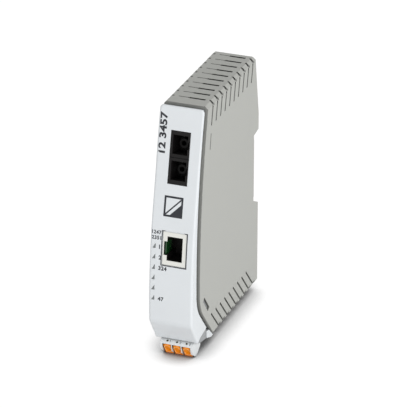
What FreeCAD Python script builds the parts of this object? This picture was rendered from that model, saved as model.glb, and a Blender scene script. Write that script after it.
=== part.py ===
import FreeCAD, Part
import math
import os

# Fibre media converter that clips on a 35 mm rail, in millimetres.
# The origin is the centre of the rail seat. +X is to the right seen from the front,
# +Y runs from the front towards the rail, and +Z is up.

# ---- overall -----------------------------------------------------------------------------------------
WIDTH = 22.5               # along the rail
FRONT_DEPTH = 86.3         # rail seat to the foremost line of the bezel
ABOVE_RAIL = 59.5          # rail centre line to the top of the tub
BELOW_RAIL = 65.5          # rail centre line to the bottom of the tub
WALL = 1.6                 # tub wall
FIT = 0.15                 # clearance of a close sliding fit
SEAT_GAP = 0.3             # clearance of a loose part at its seat
OVER = 1.0                 # how far a cutter runs past the face that it cuts
NEAR = 0.01                # tolerance for picking out an edge

# ---- rail recess and back of the tub -----------------------------------------------------------------
RAIL_HEIGHT = 35.0
RAIL_SLACK = 1.0           # the recess is taller than the rail by this
RAIL_SHEET = 1.6           # room behind the hooks for the rail's edge
BACK_DEPTH = 6.3           # how far the tub reaches behind the rail seat
HOOK_RISE = 1.0            # slope of the upper hook's underside
FOOT_FALL = 3.0            # slope of the foot's upper face
UPPER_BACK_HEIGHT = 8.4    # upright stretch of the back above the recess
TOP_BACK_DEPTH = 0.9       # depth of the back at the very top
FOOT_CHAMFER = 2.2
HOOK_REACH = 1.7           # how far the upper lip and the latch nose cover the rail's edge
HOOK_WIDTH = 12.0
HOOK_LEAD = 0.6            # chamfer where the rail's edge goes in
HOOK_BACK_CHAMFER = 1.6
SEAT_RELIEF = 0.3          # the seat is relieved under the lips that cover the rail's edges

# ---- curved front ------------------------------------------------------------------------------------
LEAN = 12.3                # backward lean of the upper front, in degrees
FRONT_RADIUS = 230.0       # arc between the leaning and the upright stretch
UPRIGHT_TALL = 8.0         # height of the upright stretch
CHIN_TALL = 12.5
CHIN_RISE = 5.0            # the chin's lower edge lies this far above the tub's bottom
KNEE_RADIUS = 6.0          # round between the upright stretch and the chin
CHIN_ANGLE = 34.0          # slant of the chin from upright, and of the plug from level
BEZEL_TOP_STEP = 0.1       # the bezel stops this far below the tub's top
BEZEL_WALL = 1.6
CHEEK_WALL = 1.2
BEZEL_CORNER = 1.8
BEZEL_EDGE = 1.1
FLOOR_RISE = 2.3           # the bezel's floor lies this far above the tub's bottom
CREASE = 0.35              # the flanks beside the plug stand back from the cheeks by this
FLANK_RUN = 4.0            # from the chin's lower edge back to the bend of the flank's underside
FLANK_DROP = 1.4
CHEEK_RUN = 2.4            # from the chin's lower edge to the corner of the cheek
CHEEK_LIFT = 1.8
FOOT_TOP = 5.6             # rear foot of the bezel: heights above the tub's bottom
FOOT_LOW = 0.3
FOOT_THICK = (3.1, 2.8)    # along y at its top and at its low end
FOOT_GAP = (1.4, 0.35)     # from its back to the tub's slanted rim, at its top and its low end
FOOT_SLOPE = 0.5

# ---- seam between the bezel and the tub --------------------------------------------------------------
CHEEK_DEPTH = 5.9          # bezel front to the foremost point of the seam
SEAM_RADIUS = 340.0
SEAM_STRAIGHT = 7.0        # length of the upright stretch under the seam's foremost point
SEAM_BEND_RISE = 31.5      # height of that stretch's lower end above the tub's bottom
SEAM_LOWER_RADIUS = 19.0
SEAM_LOWER_ANGLE = 41.0
CHEEK_LENGTH = 19.8        # bezel front to the lower end of the seam
CHEEK_END_GAP = 0.2
SEAM_GAP = 4.0             # shadow gap between the cheeks and the tub's rim
SLANT_GAP = 2.4            # the same along the slanted stretch
RIM_ROUND = 1.0            # round of the tub's rim
SPIGOT_WALL = 1.0
SPIGOT_REACH = 7.5         # how far the spigot goes behind the seam
SPIGOT_RISE = 15.5         # height of its lower end above the tub's bottom

# ---- ribs and slots of the tub -----------------------------------------------------------------------
RIB_PITCH = 6.17
TOP_GROOVES = 10
TOP_GROOVE_FIRST = -57.8
TOP_GROOVE_LENGTH = 11.5
TOP_GROOVE_LEAN = 13.0
BOTTOM_GROOVES = 9
BOTTOM_GROOVE_FIRST = -48.2
BOTTOM_GROOVE_LENGTH = 13.0
BOTTOM_GROOVE_LEAN = 42.5
GROOVE_WIDTH = 1.35        # along y
GROOVE_DEPTH = 1.0
NOTCH_FALL = 1.1           # the notches at the ribs' ends reach this far past the edge's chamfer
NOTCH_SPLAY = 0.6          # depth of their flared mouth
TUB_EDGE = 1.5             # chamfer of the tub's long top and bottom edges
SLOT_LEFT = -1.2
SLOT_RIGHT = 7.2
SLOT_WIDTH = 1.5
SLOT_ROOF = 0.6            # thickness of the roof round the slots
SLOT_MARGIN = 1.5
LINE_LEFT = -6.4
LINE_WIDTH = 0.7
LINE_DEPTH = 0.45
SLIT_DROP = 19.5           # middle of the snap slit below the tub's top
SLIT = (12.15, 8.1, 0.8, 10.0)       # behind the seam, length, width and lean
WINDOW_RISE = 21.3         # middle of the snap window above the tub's bottom
WINDOW = (12.9, 10.5, 2.4, -39.0)
SNAP_END_GAP = 1.2         # a hook is that much shorter at each end than its window
SNAP_SIDE_GAP = 0.5
SNAP_SINK = 0.2            # the hook stands that much nearer the front than its window

# ---- board -------------------------------------------------------------------------------------------
BOARD_FACE = -5.9          # x of the board's component side
BOARD_THICK = 1.6
BOARD_SETBACK = 5.0        # board edge behind the front
RAIL_RIB = 1.6             # height of the guide ribs that hold the board
RIB_THICK = 0.9
RIB_BACK = -6.0
RIB_SETBACK = 34.3         # the ribs' front ends lie this far behind the bezel's front
RIB_ROOT = 0.4             # the ribs grow this deep out of the wall
LATCH_ROOM = 8.0           # the board stops this far above the latch's channel

# ---- fibre transceiver -------------------------------------------------------------------------------
FIBRE_HEIGHT = 35.3        # z of its middle at the front
FIBRE_LEFT = -4.5
FIBRE_RIGHT = 5.3
FIBRE_LENGTH = 26.0        # along the front
FIBRE_PITCH = 12.7
FIBRE_NOSE = 14.0          # depth of the receptacle part
FIBRE_DEPTH = 38.0
CAVITY_WIDTH = 7.6
CAVITY_HEIGHT = 9.4
CAVITY_DEPTH = 11.0
KEY_WIDTH = 3.6
KEY_DEPTH = 0.7
SLEEVE_RADIUS = 2.3
SLEEVE_BORE = 1.26
SLEEVE_LENGTH = 5.6
CAN_RADIUS = 3.1
CAN_LENGTH = 8.0
FOOT_SIZE = 3.0
FIBRE_RECESS = 0.2         # its face lies this far behind the bezel's
FIBRE_STEP = 1.2           # the rear part is narrower than the nose by this
FIBRE_SHOULDER = 0.6
FIBRE_SPLIT = 0.5          # groove between the two ports
SLEEVE_COLLAR = 0.6
SLEEVE_COLLAR_LENGTH = 1.5
SLEEVE_FLOOR = 0.8
CAN_LIP = 0.4
CAN_LIP_LENGTH = 1.2
PIN_TAIL = 1.0             # how far the pins stand out behind the board
PIN_ROW = 1.5              # the pins stand this far inside the transceiver's back
PIN_SPACING = 2.54
SIGNAL_PINS = 9
SIGNAL_PIN_HALF = 0.25

# ---- network jack ------------------------------------------------------------------------------------
JACK_HEIGHT = -8.8
JACK_RIGHT = 7.15
JACK_LENGTH = 16.6
JACK_DEPTH = 21.0
JACK_SHEET = 0.4
JACK_RECESS = 0.3          # its face lies this far behind the bezel's
JACK_STEP_DEPTH = 6.0      # the front of the jack is narrower up to this depth
JACK_MARGIN = 1.2          # frame on the latch's side of the port
JACK_PLAY = 0.05           # insert inside the shield
COMB_SLOT = 0.6            # slot for each contact in the insert
COMB_FLOOR = 0.5
COMB_DEPTH = 0.7
COMB_START = 2.0
PORT_LEFT = -2.6
PORT_RIGHT = 5.3
PORT_LENGTH = 12.2
PORT_DEPTH = 13.0
LATCH_LENGTH = 7.0
LATCH_DEPTH = 1.6
CONTACTS = 8
CONTACT_PITCH = 1.02
CONTACT_WIRE = 0.4
CONTACT_ROOT = (0.1, 2.9)  # before the port's back, and in from its right-hand wall
CONTACT_BEND = (1.0, 2.6)
CONTACT_TIP = (3.0, -0.4)  # behind the port's mouth, and in from its right-hand wall

# ---- status lights -----------------------------------------------------------------------------------
LIGHTS = 6
LIGHT_TOP = -8.2
LIGHT_PITCH = 5.35
LIGHT_X = -9.1
LIGHT_WIDTH = 1.5
LIGHT_TALL = 2.4
GUIDE_BACK = 7.5
GUIDE_BAR = 2.0
GUIDE_BACKSET = 0.1        # the windows' faces lie this far behind the bezel's
GUIDE_STEP = 0.4           # the bar is narrower than its fingers by this
GUIDE_ROOT = 0.6           # how deep the fingers go into the bar
GUIDE_PLAY = 0.05
PEG_SIZE = 1.2
PEG_INSET = 0.4
LED_GAP = 0.6
LED_SIZE = 1.6

# ---- power plug --------------------------------------------------------------------------------------
POLES = 3
POLE_PITCH = 5.0
PLUG_X = 0.6
PLUG_WIDTH = 17.0
PLUG_HEIGHT = 9.0
PLUG_PROUD = 2.8           # top edge of the plug in front of the chin
PLUG_BOW = 4.2             # foremost point of the plug's side walls
PLUG_BOW_DROP = 4.3
PLUG_TOE = 2.4             # how far the lower edge stands out
PLUG_BODY_BACK = 4.5       # the full section ends this far behind the chin
PLUG_NOSE_BACK = 11.0
NOSE_STEP = 1.6            # the nose is thinner than the body by this, above and below
CAGE_HALF = 1.9            # half width of each clamp's cage
CAGE_WALL = 0.7
LEVER_WIDTH = 4.3
LEVER_TOP = 0.5
LEVER_BOTTOM = 8.4
LEVER_PROUD = 3.3
LEVER_BLADE = 2.4          # thickness of a lever's head
LEVER_STEM = 3.0           # how far its stem reaches behind the chin
LEVER_STEM_DROP = 3.0
LEVER_TRAVEL = 1.2
LEVER_ROUND = 2.0
LEVER_RIM = 0.35
LEVER_GRIP = 1.0           # radius of the finger groove across a lever
GRIP_OUT = 0.6             # its middle lies this far in front of the face
GRIP_DROP = 0.61           # and this share of the way down
BAR_THICK = 0.5
WIRE_HOLE = 1.5
WIRE_BACK = 1.9            # the wire holes lie this far behind the chin
TEST_HOLE = 0.55
TEST_DEPTH = 0.7
TEST_SETBACK = 1.2
FACE_BULGE = (0.25, 0.35)  # bulge of the side walls' upper and lower stretch
SPRING_SHEET = 0.3
CLAMP_HALF = 1.4
CLAMP_BACK = 3.7           # the clamp springs end this far before the nose's end
BAR_HALF = 1.7
BAR_END = 1.2
BAR_PLAY = 0.05

# ---- power header ------------------------------------------------------------------------------------
HEADER_WALL = 0.9
HEADER_BACK = 13.0
HEADER_FLOOR = 1.5
PIN_SIZE = 1.0
PIN_STEP = 2.2             # each bend lies this much further back than the one before
PIN_FIRST = 4.0            # the first bend lies this far behind the header
PIN_REACH = 3.2            # how far the pins go into the plug's nose
PIN_LEG_TAIL = 0.8
EAR_LENGTH = 2.6
EAR_STEP = 0.5

# ---- rail latch --------------------------------------------------------------------------------------
LATCH_FACE = 1.8           # front face of the latch channel behind the rail seat
LATCH_WIDTH = 12.0
LATCH_THICK = 3.4
LATCH_TAB = 3.2            # how far the release tab hangs below the tub
TAB_CHAMFER = 0.8
TAB_SLOT = 1.2             # screwdriver slot in the tab
TAB_SLOT_HALF = 2.0
NOSE_CHAMFER = (1.4, 0.6)
LATCH_LIP = 1.4            # width of the lips that keep the latch in
LATCH_LIP_THICK = 0.8
SPRING_STRIP = 0.5
SPRING_WIDTH = 5.0
SPRING_HEIGHT = 12.0
SPRING_FOLDS = 5
SPRING_TOP = -30.0
SPRING_POST = 2.0          # height of the tub's post under the spring
SPRING_DEEP = 2.0          # width of its strip
SPRING_SIDE_GAP = 0.6
SPRING_BACK_GAP = 0.7

# ---- components: place and height of the middle, size along y, along z, and thickness ----------------
# The place is counted from the bezel's front, and the lower ones' height from the tub's bottom.
TRANSFORMER = (36.3, -8.0, 9.4, 12.8, 5.6)
CONVERTER = (52.3, 2.0, 12.0, 12.0, 1.4)
CRYSTAL = (66.3, 4.0, 3.4, 8.0, 1.6)
REGULATOR = (36.3, 27.5, 5.0, 6.2, 1.7)
FUSE = (36.3, 13.5, 7.4, 4.6, 3.0)
CHIP_CHAMFER = 0.25
CAPACITOR_RUN = 64.3
CAPACITOR_RISES = (21.5, 32.5)
CAPACITOR_RADIUS = 4.0
CAPACITOR_LENGTH = 10.2
CAPACITOR_BASE = 8.4
CAPACITOR_BASE_THICK = 1.2
CAPACITOR_RIM = 0.5
INDUCTOR = (49.3, 25.5, 10.0)                   # place, height above the bottom, and size of its base
INDUCTOR_BASE = 1.0
INDUCTOR_RADIUS = 4.4
INDUCTOR_LENGTH = 4.5
INDUCTOR_FLANGE = 0.4
INDUCTOR_FLANGE_THICK = 0.9

HALF = WIDTH / 2.0
RECESS = (RAIL_HEIGHT + RAIL_SLACK) / 2.0
SEAT_LAND = RAIL_HEIGHT / 2.0 - HOOK_REACH - SEAT_RELIEF
BEZEL_TOP = ABOVE_RAIL - BEZEL_TOP_STEP
CHIN_END = CHIN_RISE - BELOW_RAIL
KNEE = CHIN_END + CHIN_TALL
UPRIGHT_TOP = KNEE + UPRIGHT_TALL
SEAM_DEPTH = FRONT_DEPTH - CHEEK_DEPTH
CHEEK_END_DEPTH = FRONT_DEPTH - CHEEK_LENGTH
SEAM_STRAIGHT_END = SEAM_BEND_RISE - BELOW_RAIL
SEAM_MIDDLE = SEAM_STRAIGHT_END + SEAM_STRAIGHT
SPIGOT_BOTTOM = SPIGOT_RISE - BELOW_RAIL
EAST = FreeCAD.Vector(1, 0, 0)


# ---- helpers -----------------------------------------------------------------------------------------
def box(x0, x1, y0, y1, z0, z1):
    return Part.makeBox(x1 - x0, y1 - y0, z1 - z0, FreeCAD.Vector(x0, y0, z0))


def point(y, z):
    return FreeCAD.Vector(0, y, z)


def line(a, b):
    return Part.makeLine(point(*a), point(*b))


def arc(a, middle, b):
    return Part.Arc(point(*a), point(*middle), point(*b)).toShape()


def side_face(edges):
    return Part.Face(Part.Wire(edges))


def polygon_face(corners):
    return Part.Face(Part.makePolygon([point(*corner) for corner in corners] + [point(*corners[0])]))


def across(face, x0, x1):
    """Extrude a side-view face from x0 to x1."""
    moved = face.copy()
    moved.translate(EAST * x0)
    return moved.extrude(EAST * (x1 - x0))


def plate(corners, x0, x1):
    return across(polygon_face(corners), x0, x1)


def merge(shapes):
    return shapes[0].fuse(shapes[1:]).removeSplitter() if len(shapes) > 1 else shapes[0]


def cylinder(radius, length, base, direction):
    return Part.makeCylinder(radius, length, FreeCAD.Vector(*base), FreeCAD.Vector(*direction))


def strip(corners, thick):
    """Closed corner list of a bent strip that follows a path in the side view."""
    left = []
    right = []
    for index, (y, z) in enumerate(corners):
        before = corners[max(index - 1, 0)]
        after = corners[min(index + 1, len(corners) - 1)]
        a = math.atan2(y - before[0], z - before[1]) if index else None
        b = math.atan2(after[0] - y, after[1] - z) if index < len(corners) - 1 else None
        a = b if a is None else a
        b = a if b is None else b
        turn = math.atan2(math.sin(b - a), math.cos(b - a))
        mean = a + turn / 2.0
        reach = thick / 2.0 / math.cos(turn / 2.0)
        left.append((y + reach * math.cos(mean), z - reach * math.sin(mean)))
        right.append((y - reach * math.cos(mean), z + reach * math.sin(mean)))
    return left + right[::-1]


# ---- the curved front and the seam -------------------------------------------------------------------
LEAN_RAD = math.radians(LEAN)
ARC_TOP = UPRIGHT_TOP + FRONT_RADIUS * math.sin(LEAN_RAD)
CHIN_RAD = math.radians(CHIN_ANGLE)
KNEE_TOP = KNEE + KNEE_RADIUS * math.tan(CHIN_RAD / 2.0)
KNEE_LOW = KNEE_TOP - KNEE_RADIUS * math.sin(CHIN_RAD)


def front_lean(z):
    """Backward lean of the front at a height, in radians."""
    rise = min(max(z - UPRIGHT_TOP, 0.0), ARC_TOP - UPRIGHT_TOP)
    return math.asin(rise / FRONT_RADIUS)


def front_y(z):
    """Depth of the front at a height."""
    y = -FRONT_DEPTH + FRONT_RADIUS * (1.0 - math.cos(front_lean(z)))
    if z > ARC_TOP:
        y += (z - ARC_TOP) * math.tan(LEAN_RAD)
    if z < KNEE_TOP:
        drop = min(KNEE_TOP - z, KNEE_TOP - KNEE_LOW)
        y += KNEE_RADIUS - math.sqrt(KNEE_RADIUS ** 2 - drop ** 2)
    if z < KNEE_LOW:
        y += (KNEE_LOW - z) * math.tan(CHIN_RAD)
    return y


def front_point(z, shift):
    return (front_y(z) + shift, z)


def front_edges(top, bottom, shift):
    """Edges of the front's profile from top to bottom, moved back by shift."""
    middle = (ARC_TOP + UPRIGHT_TOP) / 2.0
    knee = (KNEE_TOP + KNEE_LOW) / 2.0
    return [
        line(front_point(top, shift), front_point(ARC_TOP, shift)),
        arc(front_point(ARC_TOP, shift), front_point(middle, shift), front_point(UPRIGHT_TOP, shift)),
        line(front_point(UPRIGHT_TOP, shift), front_point(KNEE_TOP, shift)),
        arc(front_point(KNEE_TOP, shift), front_point(knee, shift), front_point(KNEE_LOW, shift)),
        line(front_point(KNEE_LOW, shift), front_point(bottom, shift)),
    ]


def seam_y(z):
    """Depth of the upper seam at a height."""
    return -SEAM_DEPTH + SEAM_RADIUS - math.sqrt(SEAM_RADIUS ** 2 - (z - SEAM_MIDDLE) ** 2)


def seam_lower(angle):
    """Point on the lower seam arc, at an angle from upright in degrees."""
    a = math.radians(angle)
    y = -SEAM_DEPTH + SEAM_LOWER_RADIUS * (1.0 - math.cos(a))
    return (y, SEAM_STRAIGHT_END - SEAM_LOWER_RADIUS * math.sin(a))


def seam_slant(y):
    """Height of the seam's slanted lower stretch at a depth."""
    start = seam_lower(SEAM_LOWER_ANGLE)
    return start[1] - (y - start[0]) / math.tan(math.radians(SEAM_LOWER_ANGLE))


def seam_edges(top, end_depth, shift, slant_shift):
    """Edges of the seam from the slant's end up to the top, moved back by the two shifts."""
    drop = (shift - slant_shift) / math.tan(math.radians(SEAM_LOWER_ANGLE))
    end = (-end_depth + slant_shift, seam_slant(-end_depth))
    low = seam_lower(SEAM_LOWER_ANGLE)
    mid = seam_lower(SEAM_LOWER_ANGLE / 2.0)
    high = (-SEAM_DEPTH, SEAM_STRAIGHT_END)
    low, mid, high = [(y + shift, z - drop) for y, z in (low, mid, high)]
    crown = (-SEAM_DEPTH + shift, SEAM_MIDDLE)
    half = (SEAM_MIDDLE + top) / 2.0
    return [
        line(end, low),
        arc(low, mid, high),
        line(high, crown),
        arc(crown, (seam_y(half) + shift, half), (seam_y(top) + shift, top)),
    ]


# ---- tub ---------------------------------------------------------------------------------------------
def slant_y(z):
    """Depth of the seam's slanted lower stretch at a height."""
    start = seam_lower(SEAM_LOWER_ANGLE)
    return start[0] + (start[1] - z) * math.tan(math.radians(SEAM_LOWER_ANGLE))


def tub_face(shift, slant_shift):
    """Side view of the tub, with its front edge moved back by the two shifts."""
    bottom_front = slant_y(-BELOW_RAIL)
    corners = [
        (seam_y(ABOVE_RAIL) + shift, ABOVE_RAIL),
        (TOP_BACK_DEPTH, ABOVE_RAIL),
        (BACK_DEPTH, RECESS + HOOK_RISE + UPPER_BACK_HEIGHT),
        (BACK_DEPTH, RECESS + HOOK_RISE),
        (0.0, RECESS),
        (0.0, -RECESS),
        (BACK_DEPTH, -RECESS - FOOT_FALL),
        (BACK_DEPTH, FOOT_CHAMFER / 2.0 - BELOW_RAIL),
        (BACK_DEPTH - FOOT_CHAMFER, -BELOW_RAIL),
        (bottom_front + slant_shift, -BELOW_RAIL),
    ]
    edges = [line(corners[i], corners[i + 1]) for i in range(len(corners) - 1)]
    return side_face(edges + seam_edges(ABOVE_RAIL, -bottom_front, shift, slant_shift))


def rib_notch(y, edge_z, side):
    """Cutter that sets off two neighbouring ribs where they turn over the edge: side is 1 at the top."""
    deep = TUB_EDGE + NOTCH_FALL
    far = deep + OVER
    half = GROOVE_WIDTH / 2.0
    mouth = half + NOTCH_SPLAY + OVER
    low = edge_z - far if side > 0 else edge_z - OVER
    high = edge_z + OVER if side > 0 else edge_z + far
    plan = [(HALF - far, y - half), (HALF - NOTCH_SPLAY, y - half), (HALF + OVER, y - mouth),
            (HALF + OVER, y + mouth), (HALF - NOTCH_SPLAY, y + half), (HALF - far, y + half)]
    loop = [FreeCAD.Vector(x, v, low) for x, v in plan]
    flare = Part.Face(Part.makePolygon(loop + [loop[0]])).extrude(FreeCAD.Vector(0, 0, high - low))
    corners = [(HALF - far, edge_z + side * OVER), (HALF + OVER, edge_z - side * far),
               (HALF + OVER, edge_z + side * OVER)]
    loop = [FreeCAD.Vector(x, y - mouth, z) for x, z in corners]
    wedge = Part.Face(Part.makePolygon(loop + [loop[0]])).extrude(FreeCAD.Vector(0, 2.0 * mouth, 0))
    return flare.common(wedge)


def mirrored(shape):
    return shape.mirror(FreeCAD.Vector(0, 0, 0), EAST)


def groove_sheet(lean):
    """Thickness of a leaning groove across its own run."""
    return GROOVE_WIDTH * math.cos(math.radians(lean))


def top_cutters():
    """Grooves, slots and lines of the top edge, one set for each rib."""
    cutters = []
    slope = math.tan(math.radians(TOP_GROOVE_LEAN))
    foot = TOP_GROOVE_LENGTH
    half_slot = SLOT_WIDTH / 2.0
    for index in range(TOP_GROOVES):
        y = TOP_GROOVE_FIRST + index * RIB_PITCH
        corners = strip([(y + OVER * slope, ABOVE_RAIL + OVER), (y - foot * slope, ABOVE_RAIL - foot)],
                        groove_sheet(TOP_GROOVE_LEAN))
        side = plate(corners, HALF - GROOVE_DEPTH, HALF + OVER)
        notch = rib_notch(y, ABOVE_RAIL, 1)
        cutters += [side, mirrored(side), notch, mirrored(notch)]
        cutters.append(box(SLOT_LEFT, SLOT_RIGHT, y - half_slot, y + half_slot,
                           ABOVE_RAIL - WALL - OVER, ABOVE_RAIL + OVER))
        cutters.append(box(LINE_LEFT, SLOT_LEFT, y - LINE_WIDTH / 2.0, y + LINE_WIDTH / 2.0,
                           ABOVE_RAIL - LINE_DEPTH, ABOVE_RAIL + OVER))
    last = TOP_GROOVE_FIRST + (TOP_GROOVES - 1) * RIB_PITCH
    cutters.append(box(SLOT_LEFT - SLOT_MARGIN, SLOT_RIGHT + SLOT_MARGIN, TOP_GROOVE_FIRST - SLOT_MARGIN,
                       last + SLOT_MARGIN, ABOVE_RAIL - WALL - OVER, ABOVE_RAIL - SLOT_ROOF))
    return cutters


def bottom_cutters():
    """Grooves and slots of the bottom edge."""
    cutters = []
    slope = math.tan(math.radians(BOTTOM_GROOVE_LEAN))
    head = BOTTOM_GROOVE_LENGTH
    half_slot = SLOT_WIDTH / 2.0
    for index in range(BOTTOM_GROOVES):
        y = BOTTOM_GROOVE_FIRST + index * RIB_PITCH
        corners = strip([(y - head * slope, head - BELOW_RAIL), (y + OVER * slope, -BELOW_RAIL - OVER)],
                        groove_sheet(BOTTOM_GROOVE_LEAN))
        side = plate(corners, HALF - GROOVE_DEPTH, HALF + OVER)
        notch = rib_notch(y, -BELOW_RAIL, -1)
        cutters += [side, mirrored(side), notch, mirrored(notch)]
        if y + SLOT_WIDTH < -WALL:
            cutters.append(box(SLOT_LEFT, SLOT_RIGHT, y - half_slot, y + half_slot,
                               -BELOW_RAIL - OVER, WALL - BELOW_RAIL + OVER))
    return cutters


def snap_slit():
    z = ABOVE_RAIL - SLIT_DROP
    return (seam_y(z) + SLIT[0], z) + SLIT[1:]


def snap_window():
    z = WINDOW_RISE - BELOW_RAIL
    return (seam_y(z) + WINDOW[0], z) + WINDOW[1:]


def tilted_bar(spec, x0, x1):
    """Slanted bar in the side view: its middle, length, width and lean."""
    y, z, length, width, lean = spec
    dy = math.sin(math.radians(lean)) * length / 2.0
    dz = math.cos(math.radians(lean)) * length / 2.0
    return plate(strip([(y - dy, z - dz), (y + dy, z + dz)], width), x0, x1)


def latch_channel():
    """T-shaped channel at the lower back, open upwards and downwards."""
    half = LATCH_WIDTH / 2.0 + FIT
    neck = half - LATCH_LIP
    top = OVER - RECESS
    bottom = -BELOW_RAIL - OVER
    slot = box(-half, half, LATCH_FACE, BACK_DEPTH - LATCH_LIP_THICK, bottom, top)
    mouth = box(-neck, neck, LATCH_FACE, BACK_DEPTH + OVER, bottom, top)
    return slot.fuse(mouth)


def spring_post():
    """Post in the channel that carries the spring's lower end."""
    half = SPRING_WIDTH / 2.0
    z = SPRING_TOP - SPRING_HEIGHT
    back = LATCH_FACE + LATCH_THICK - SEAT_GAP
    return box(-half, half, LATCH_FACE - SEAT_GAP, back, z - SPRING_POST, z)


def board_face(gap):
    """Side view of the space inside the tub, less a gap all round."""
    room = tub_face(-4.0 * WALL, -4.0 * WALL).makeOffset2D(-WALL - gap, join=2)
    far = BACK_DEPTH + OVER
    low = -RECESS - LATCH_ROOM
    back = polygon_face([(-gap, low), (far, low), (far, -BELOW_RAIL - OVER), (-gap, -BELOW_RAIL - OVER)])
    recess = polygon_face([(-WALL - gap, RECESS + WALL), (far, RECESS + WALL), (far, low - OVER),
                           (-WALL - gap, low - OVER)])
    return room.cut(back).cut(recess)


def guide_ribs():
    """Ribs at the top and bottom that the board slides between."""
    ribs = []
    left = BOARD_FACE - BOARD_THICK - FIT
    right = BOARD_FACE + FIT
    roof = ABOVE_RAIL - WALL
    floor = WALL - BELOW_RAIL
    front = RIB_SETBACK - FRONT_DEPTH
    for x0, x1 in ((left - RIB_THICK, left), (right, right + RIB_THICK)):
        ribs.append(box(x0, x1, front, RIB_BACK, roof - RAIL_RIB, roof + RIB_ROOT))
        ribs.append(box(x0, x1, front, RIB_BACK, floor - RIB_ROOT, floor + RAIL_RIB))
    return ribs


def upper_hook():
    """Lip that hangs behind the rail's upper edge."""
    tip = RAIL_HEIGHT / 2.0 - HOOK_REACH
    corners = [(RAIL_SHEET, RECESS + OVER), (RAIL_SHEET, tip + HOOK_LEAD), (RAIL_SHEET + HOOK_LEAD, tip),
               (BACK_DEPTH - HOOK_BACK_CHAMFER, tip), (BACK_DEPTH, tip + HOOK_BACK_CHAMFER),
               (BACK_DEPTH, RECESS + HOOK_RISE + OVER)]
    return plate(corners, -HOOK_WIDTH / 2.0, HOOK_WIDTH / 2.0)


def seat_reliefs():
    """Shallow cuts in the seat under the lips, so that its flat part lies free between them."""
    cuts = []
    for low, high in ((SEAT_LAND, RECESS), (-RECESS, -SEAT_LAND)):
        cuts.append(box(-HALF - OVER, HALF + OVER, -SEAT_RELIEF, SEAT_RELIEF, low, high))
    return cuts


def long_edges(shape):
    """Edges where the tub's sides meet its top and its bottom."""
    return [edge for edge in shape.Edges if abs(abs(edge.CenterOfMass.x) - HALF) < NEAR
            and min(abs(edge.CenterOfMass.z - ABOVE_RAIL), abs(edge.CenterOfMass.z + BELOW_RAIL)) < NEAR]


def rim_edges(shape):
    """Edges of the tub's rim at both sides, between the long edges."""
    back = slant_y(-BELOW_RAIL) + SLANT_GAP + NEAR
    return [edge for edge in shape.Edges if abs(abs(edge.CenterOfMass.x) - HALF) < NEAR
            and edge.valueAt(edge.LastParameter).y < back and edge.valueAt(edge.FirstParameter).y < back]


def make_tub():
    """The housing: a one-piece tub, open towards the bezel."""
    outer = across(tub_face(SEAM_GAP, SLANT_GAP), -HALF, HALF)
    outer = outer.makeChamfer(TUB_EDGE, long_edges(outer))
    outer = outer.makeFillet(RIM_ROUND, rim_edges(outer))
    room = across(board_face(0.0), WALL - HALF, HALF - WALL)
    tub = outer.cut(room)
    tub = tub.fuse(guide_ribs() + [upper_hook()])
    tub = tub.cut([latch_channel()] + seat_reliefs())
    tub = tub.fuse(spring_post())
    cutters = top_cutters() + bottom_cutters()
    for spec in (snap_slit(), snap_window()):
        window = tilted_bar(spec, HALF - WALL - OVER, HALF + OVER)
        cutters += [window, mirrored(window)]
    return tub.cut(cutters).removeSplitter()


# ---- placing the tilted connectors -------------------------------------------------------------------
def seat(shape, height):
    """Turn a connector, drawn at y 0 with its face forward, to the front's lean at a height."""
    placed = shape.copy()
    placed.rotate(FreeCAD.Vector(0, 0, 0), EAST, -math.degrees(front_lean(height)))
    placed.translate(FreeCAD.Vector(0, front_y(height), height))
    return placed


def plug_seat(shape):
    """Turn a plug part to the plug's slant and put it at the chin's lower edge."""
    placed = shape.copy()
    placed.rotate(FreeCAD.Vector(0, 0, 0), EAST, CHIN_ANGLE)
    placed.translate(FreeCAD.Vector(0, front_y(CHIN_END), CHIN_END))
    return placed


def plug_box(x0, x1, s0, s1, h0, h1):
    """Box of the plug: s is how far it stands out of the chin, h its depth below the top."""
    return box(x0, x1, -s1, -s0, -h1, -h0)


def pole_x(index):
    return PLUG_X + (index - (POLES - 1) / 2.0) * POLE_PITCH


# ---- bezel -------------------------------------------------------------------------------------------
def bezel_face():
    edges = front_edges(BEZEL_TOP, CHIN_END, 0.0)
    end = (-CHEEK_END_DEPTH, seam_slant(-CHEEK_END_DEPTH))
    corner = (front_y(CHIN_END) + CHEEK_RUN, CHIN_END + CHEEK_LIFT)
    edges += [line(front_point(CHIN_END, 0.0), corner), line(corner, end)]
    edges += seam_edges(BEZEL_TOP, CHEEK_END_DEPTH, 0.0, 0.0)
    edges += [line((seam_y(BEZEL_TOP), BEZEL_TOP), front_point(BEZEL_TOP, 0.0))]
    return side_face(edges)


def behind_front(top, bottom, shift, back):
    """Side view of what lies behind the front, up to a fixed depth."""
    edges = front_edges(top, bottom, shift)
    edges += [line(front_point(bottom, shift), (back, bottom)), line((back, bottom), (back, top)),
              line((back, top), front_point(top, shift))]
    return side_face(edges)


def on_front(edge):
    middle = edge.valueAt((edge.FirstParameter + edge.LastParameter) / 2.0)
    return abs(middle.y - front_y(middle.z)) < 2.0 * NEAR


def bezel_shell():
    """Curved front with its side cheeks."""
    shell = across(bezel_face(), -HALF, HALF)
    corners = [edge for edge in shell.Edges if abs(edge.CenterOfMass.z - BEZEL_TOP) < NEAR
               and abs(abs(edge.CenterOfMass.x) - HALF) < NEAR]
    shell = shell.makeFillet(BEZEL_CORNER, corners)
    rims = [edge for edge in shell.Edges if on_front(edge) and edge.CenterOfMass.z < BEZEL_TOP
            and (abs(abs(edge.CenterOfMass.x) - HALF) < BEZEL_CORNER / 3.0)]
    shell = shell.makeFillet(BEZEL_EDGE, rims)
    inside = behind_front(BEZEL_TOP - CHEEK_WALL, -BELOW_RAIL - OVER, BEZEL_WALL, 0.0)
    return shell.cut(across(inside, CHEEK_WALL - HALF, HALF - CHEEK_WALL))


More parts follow.
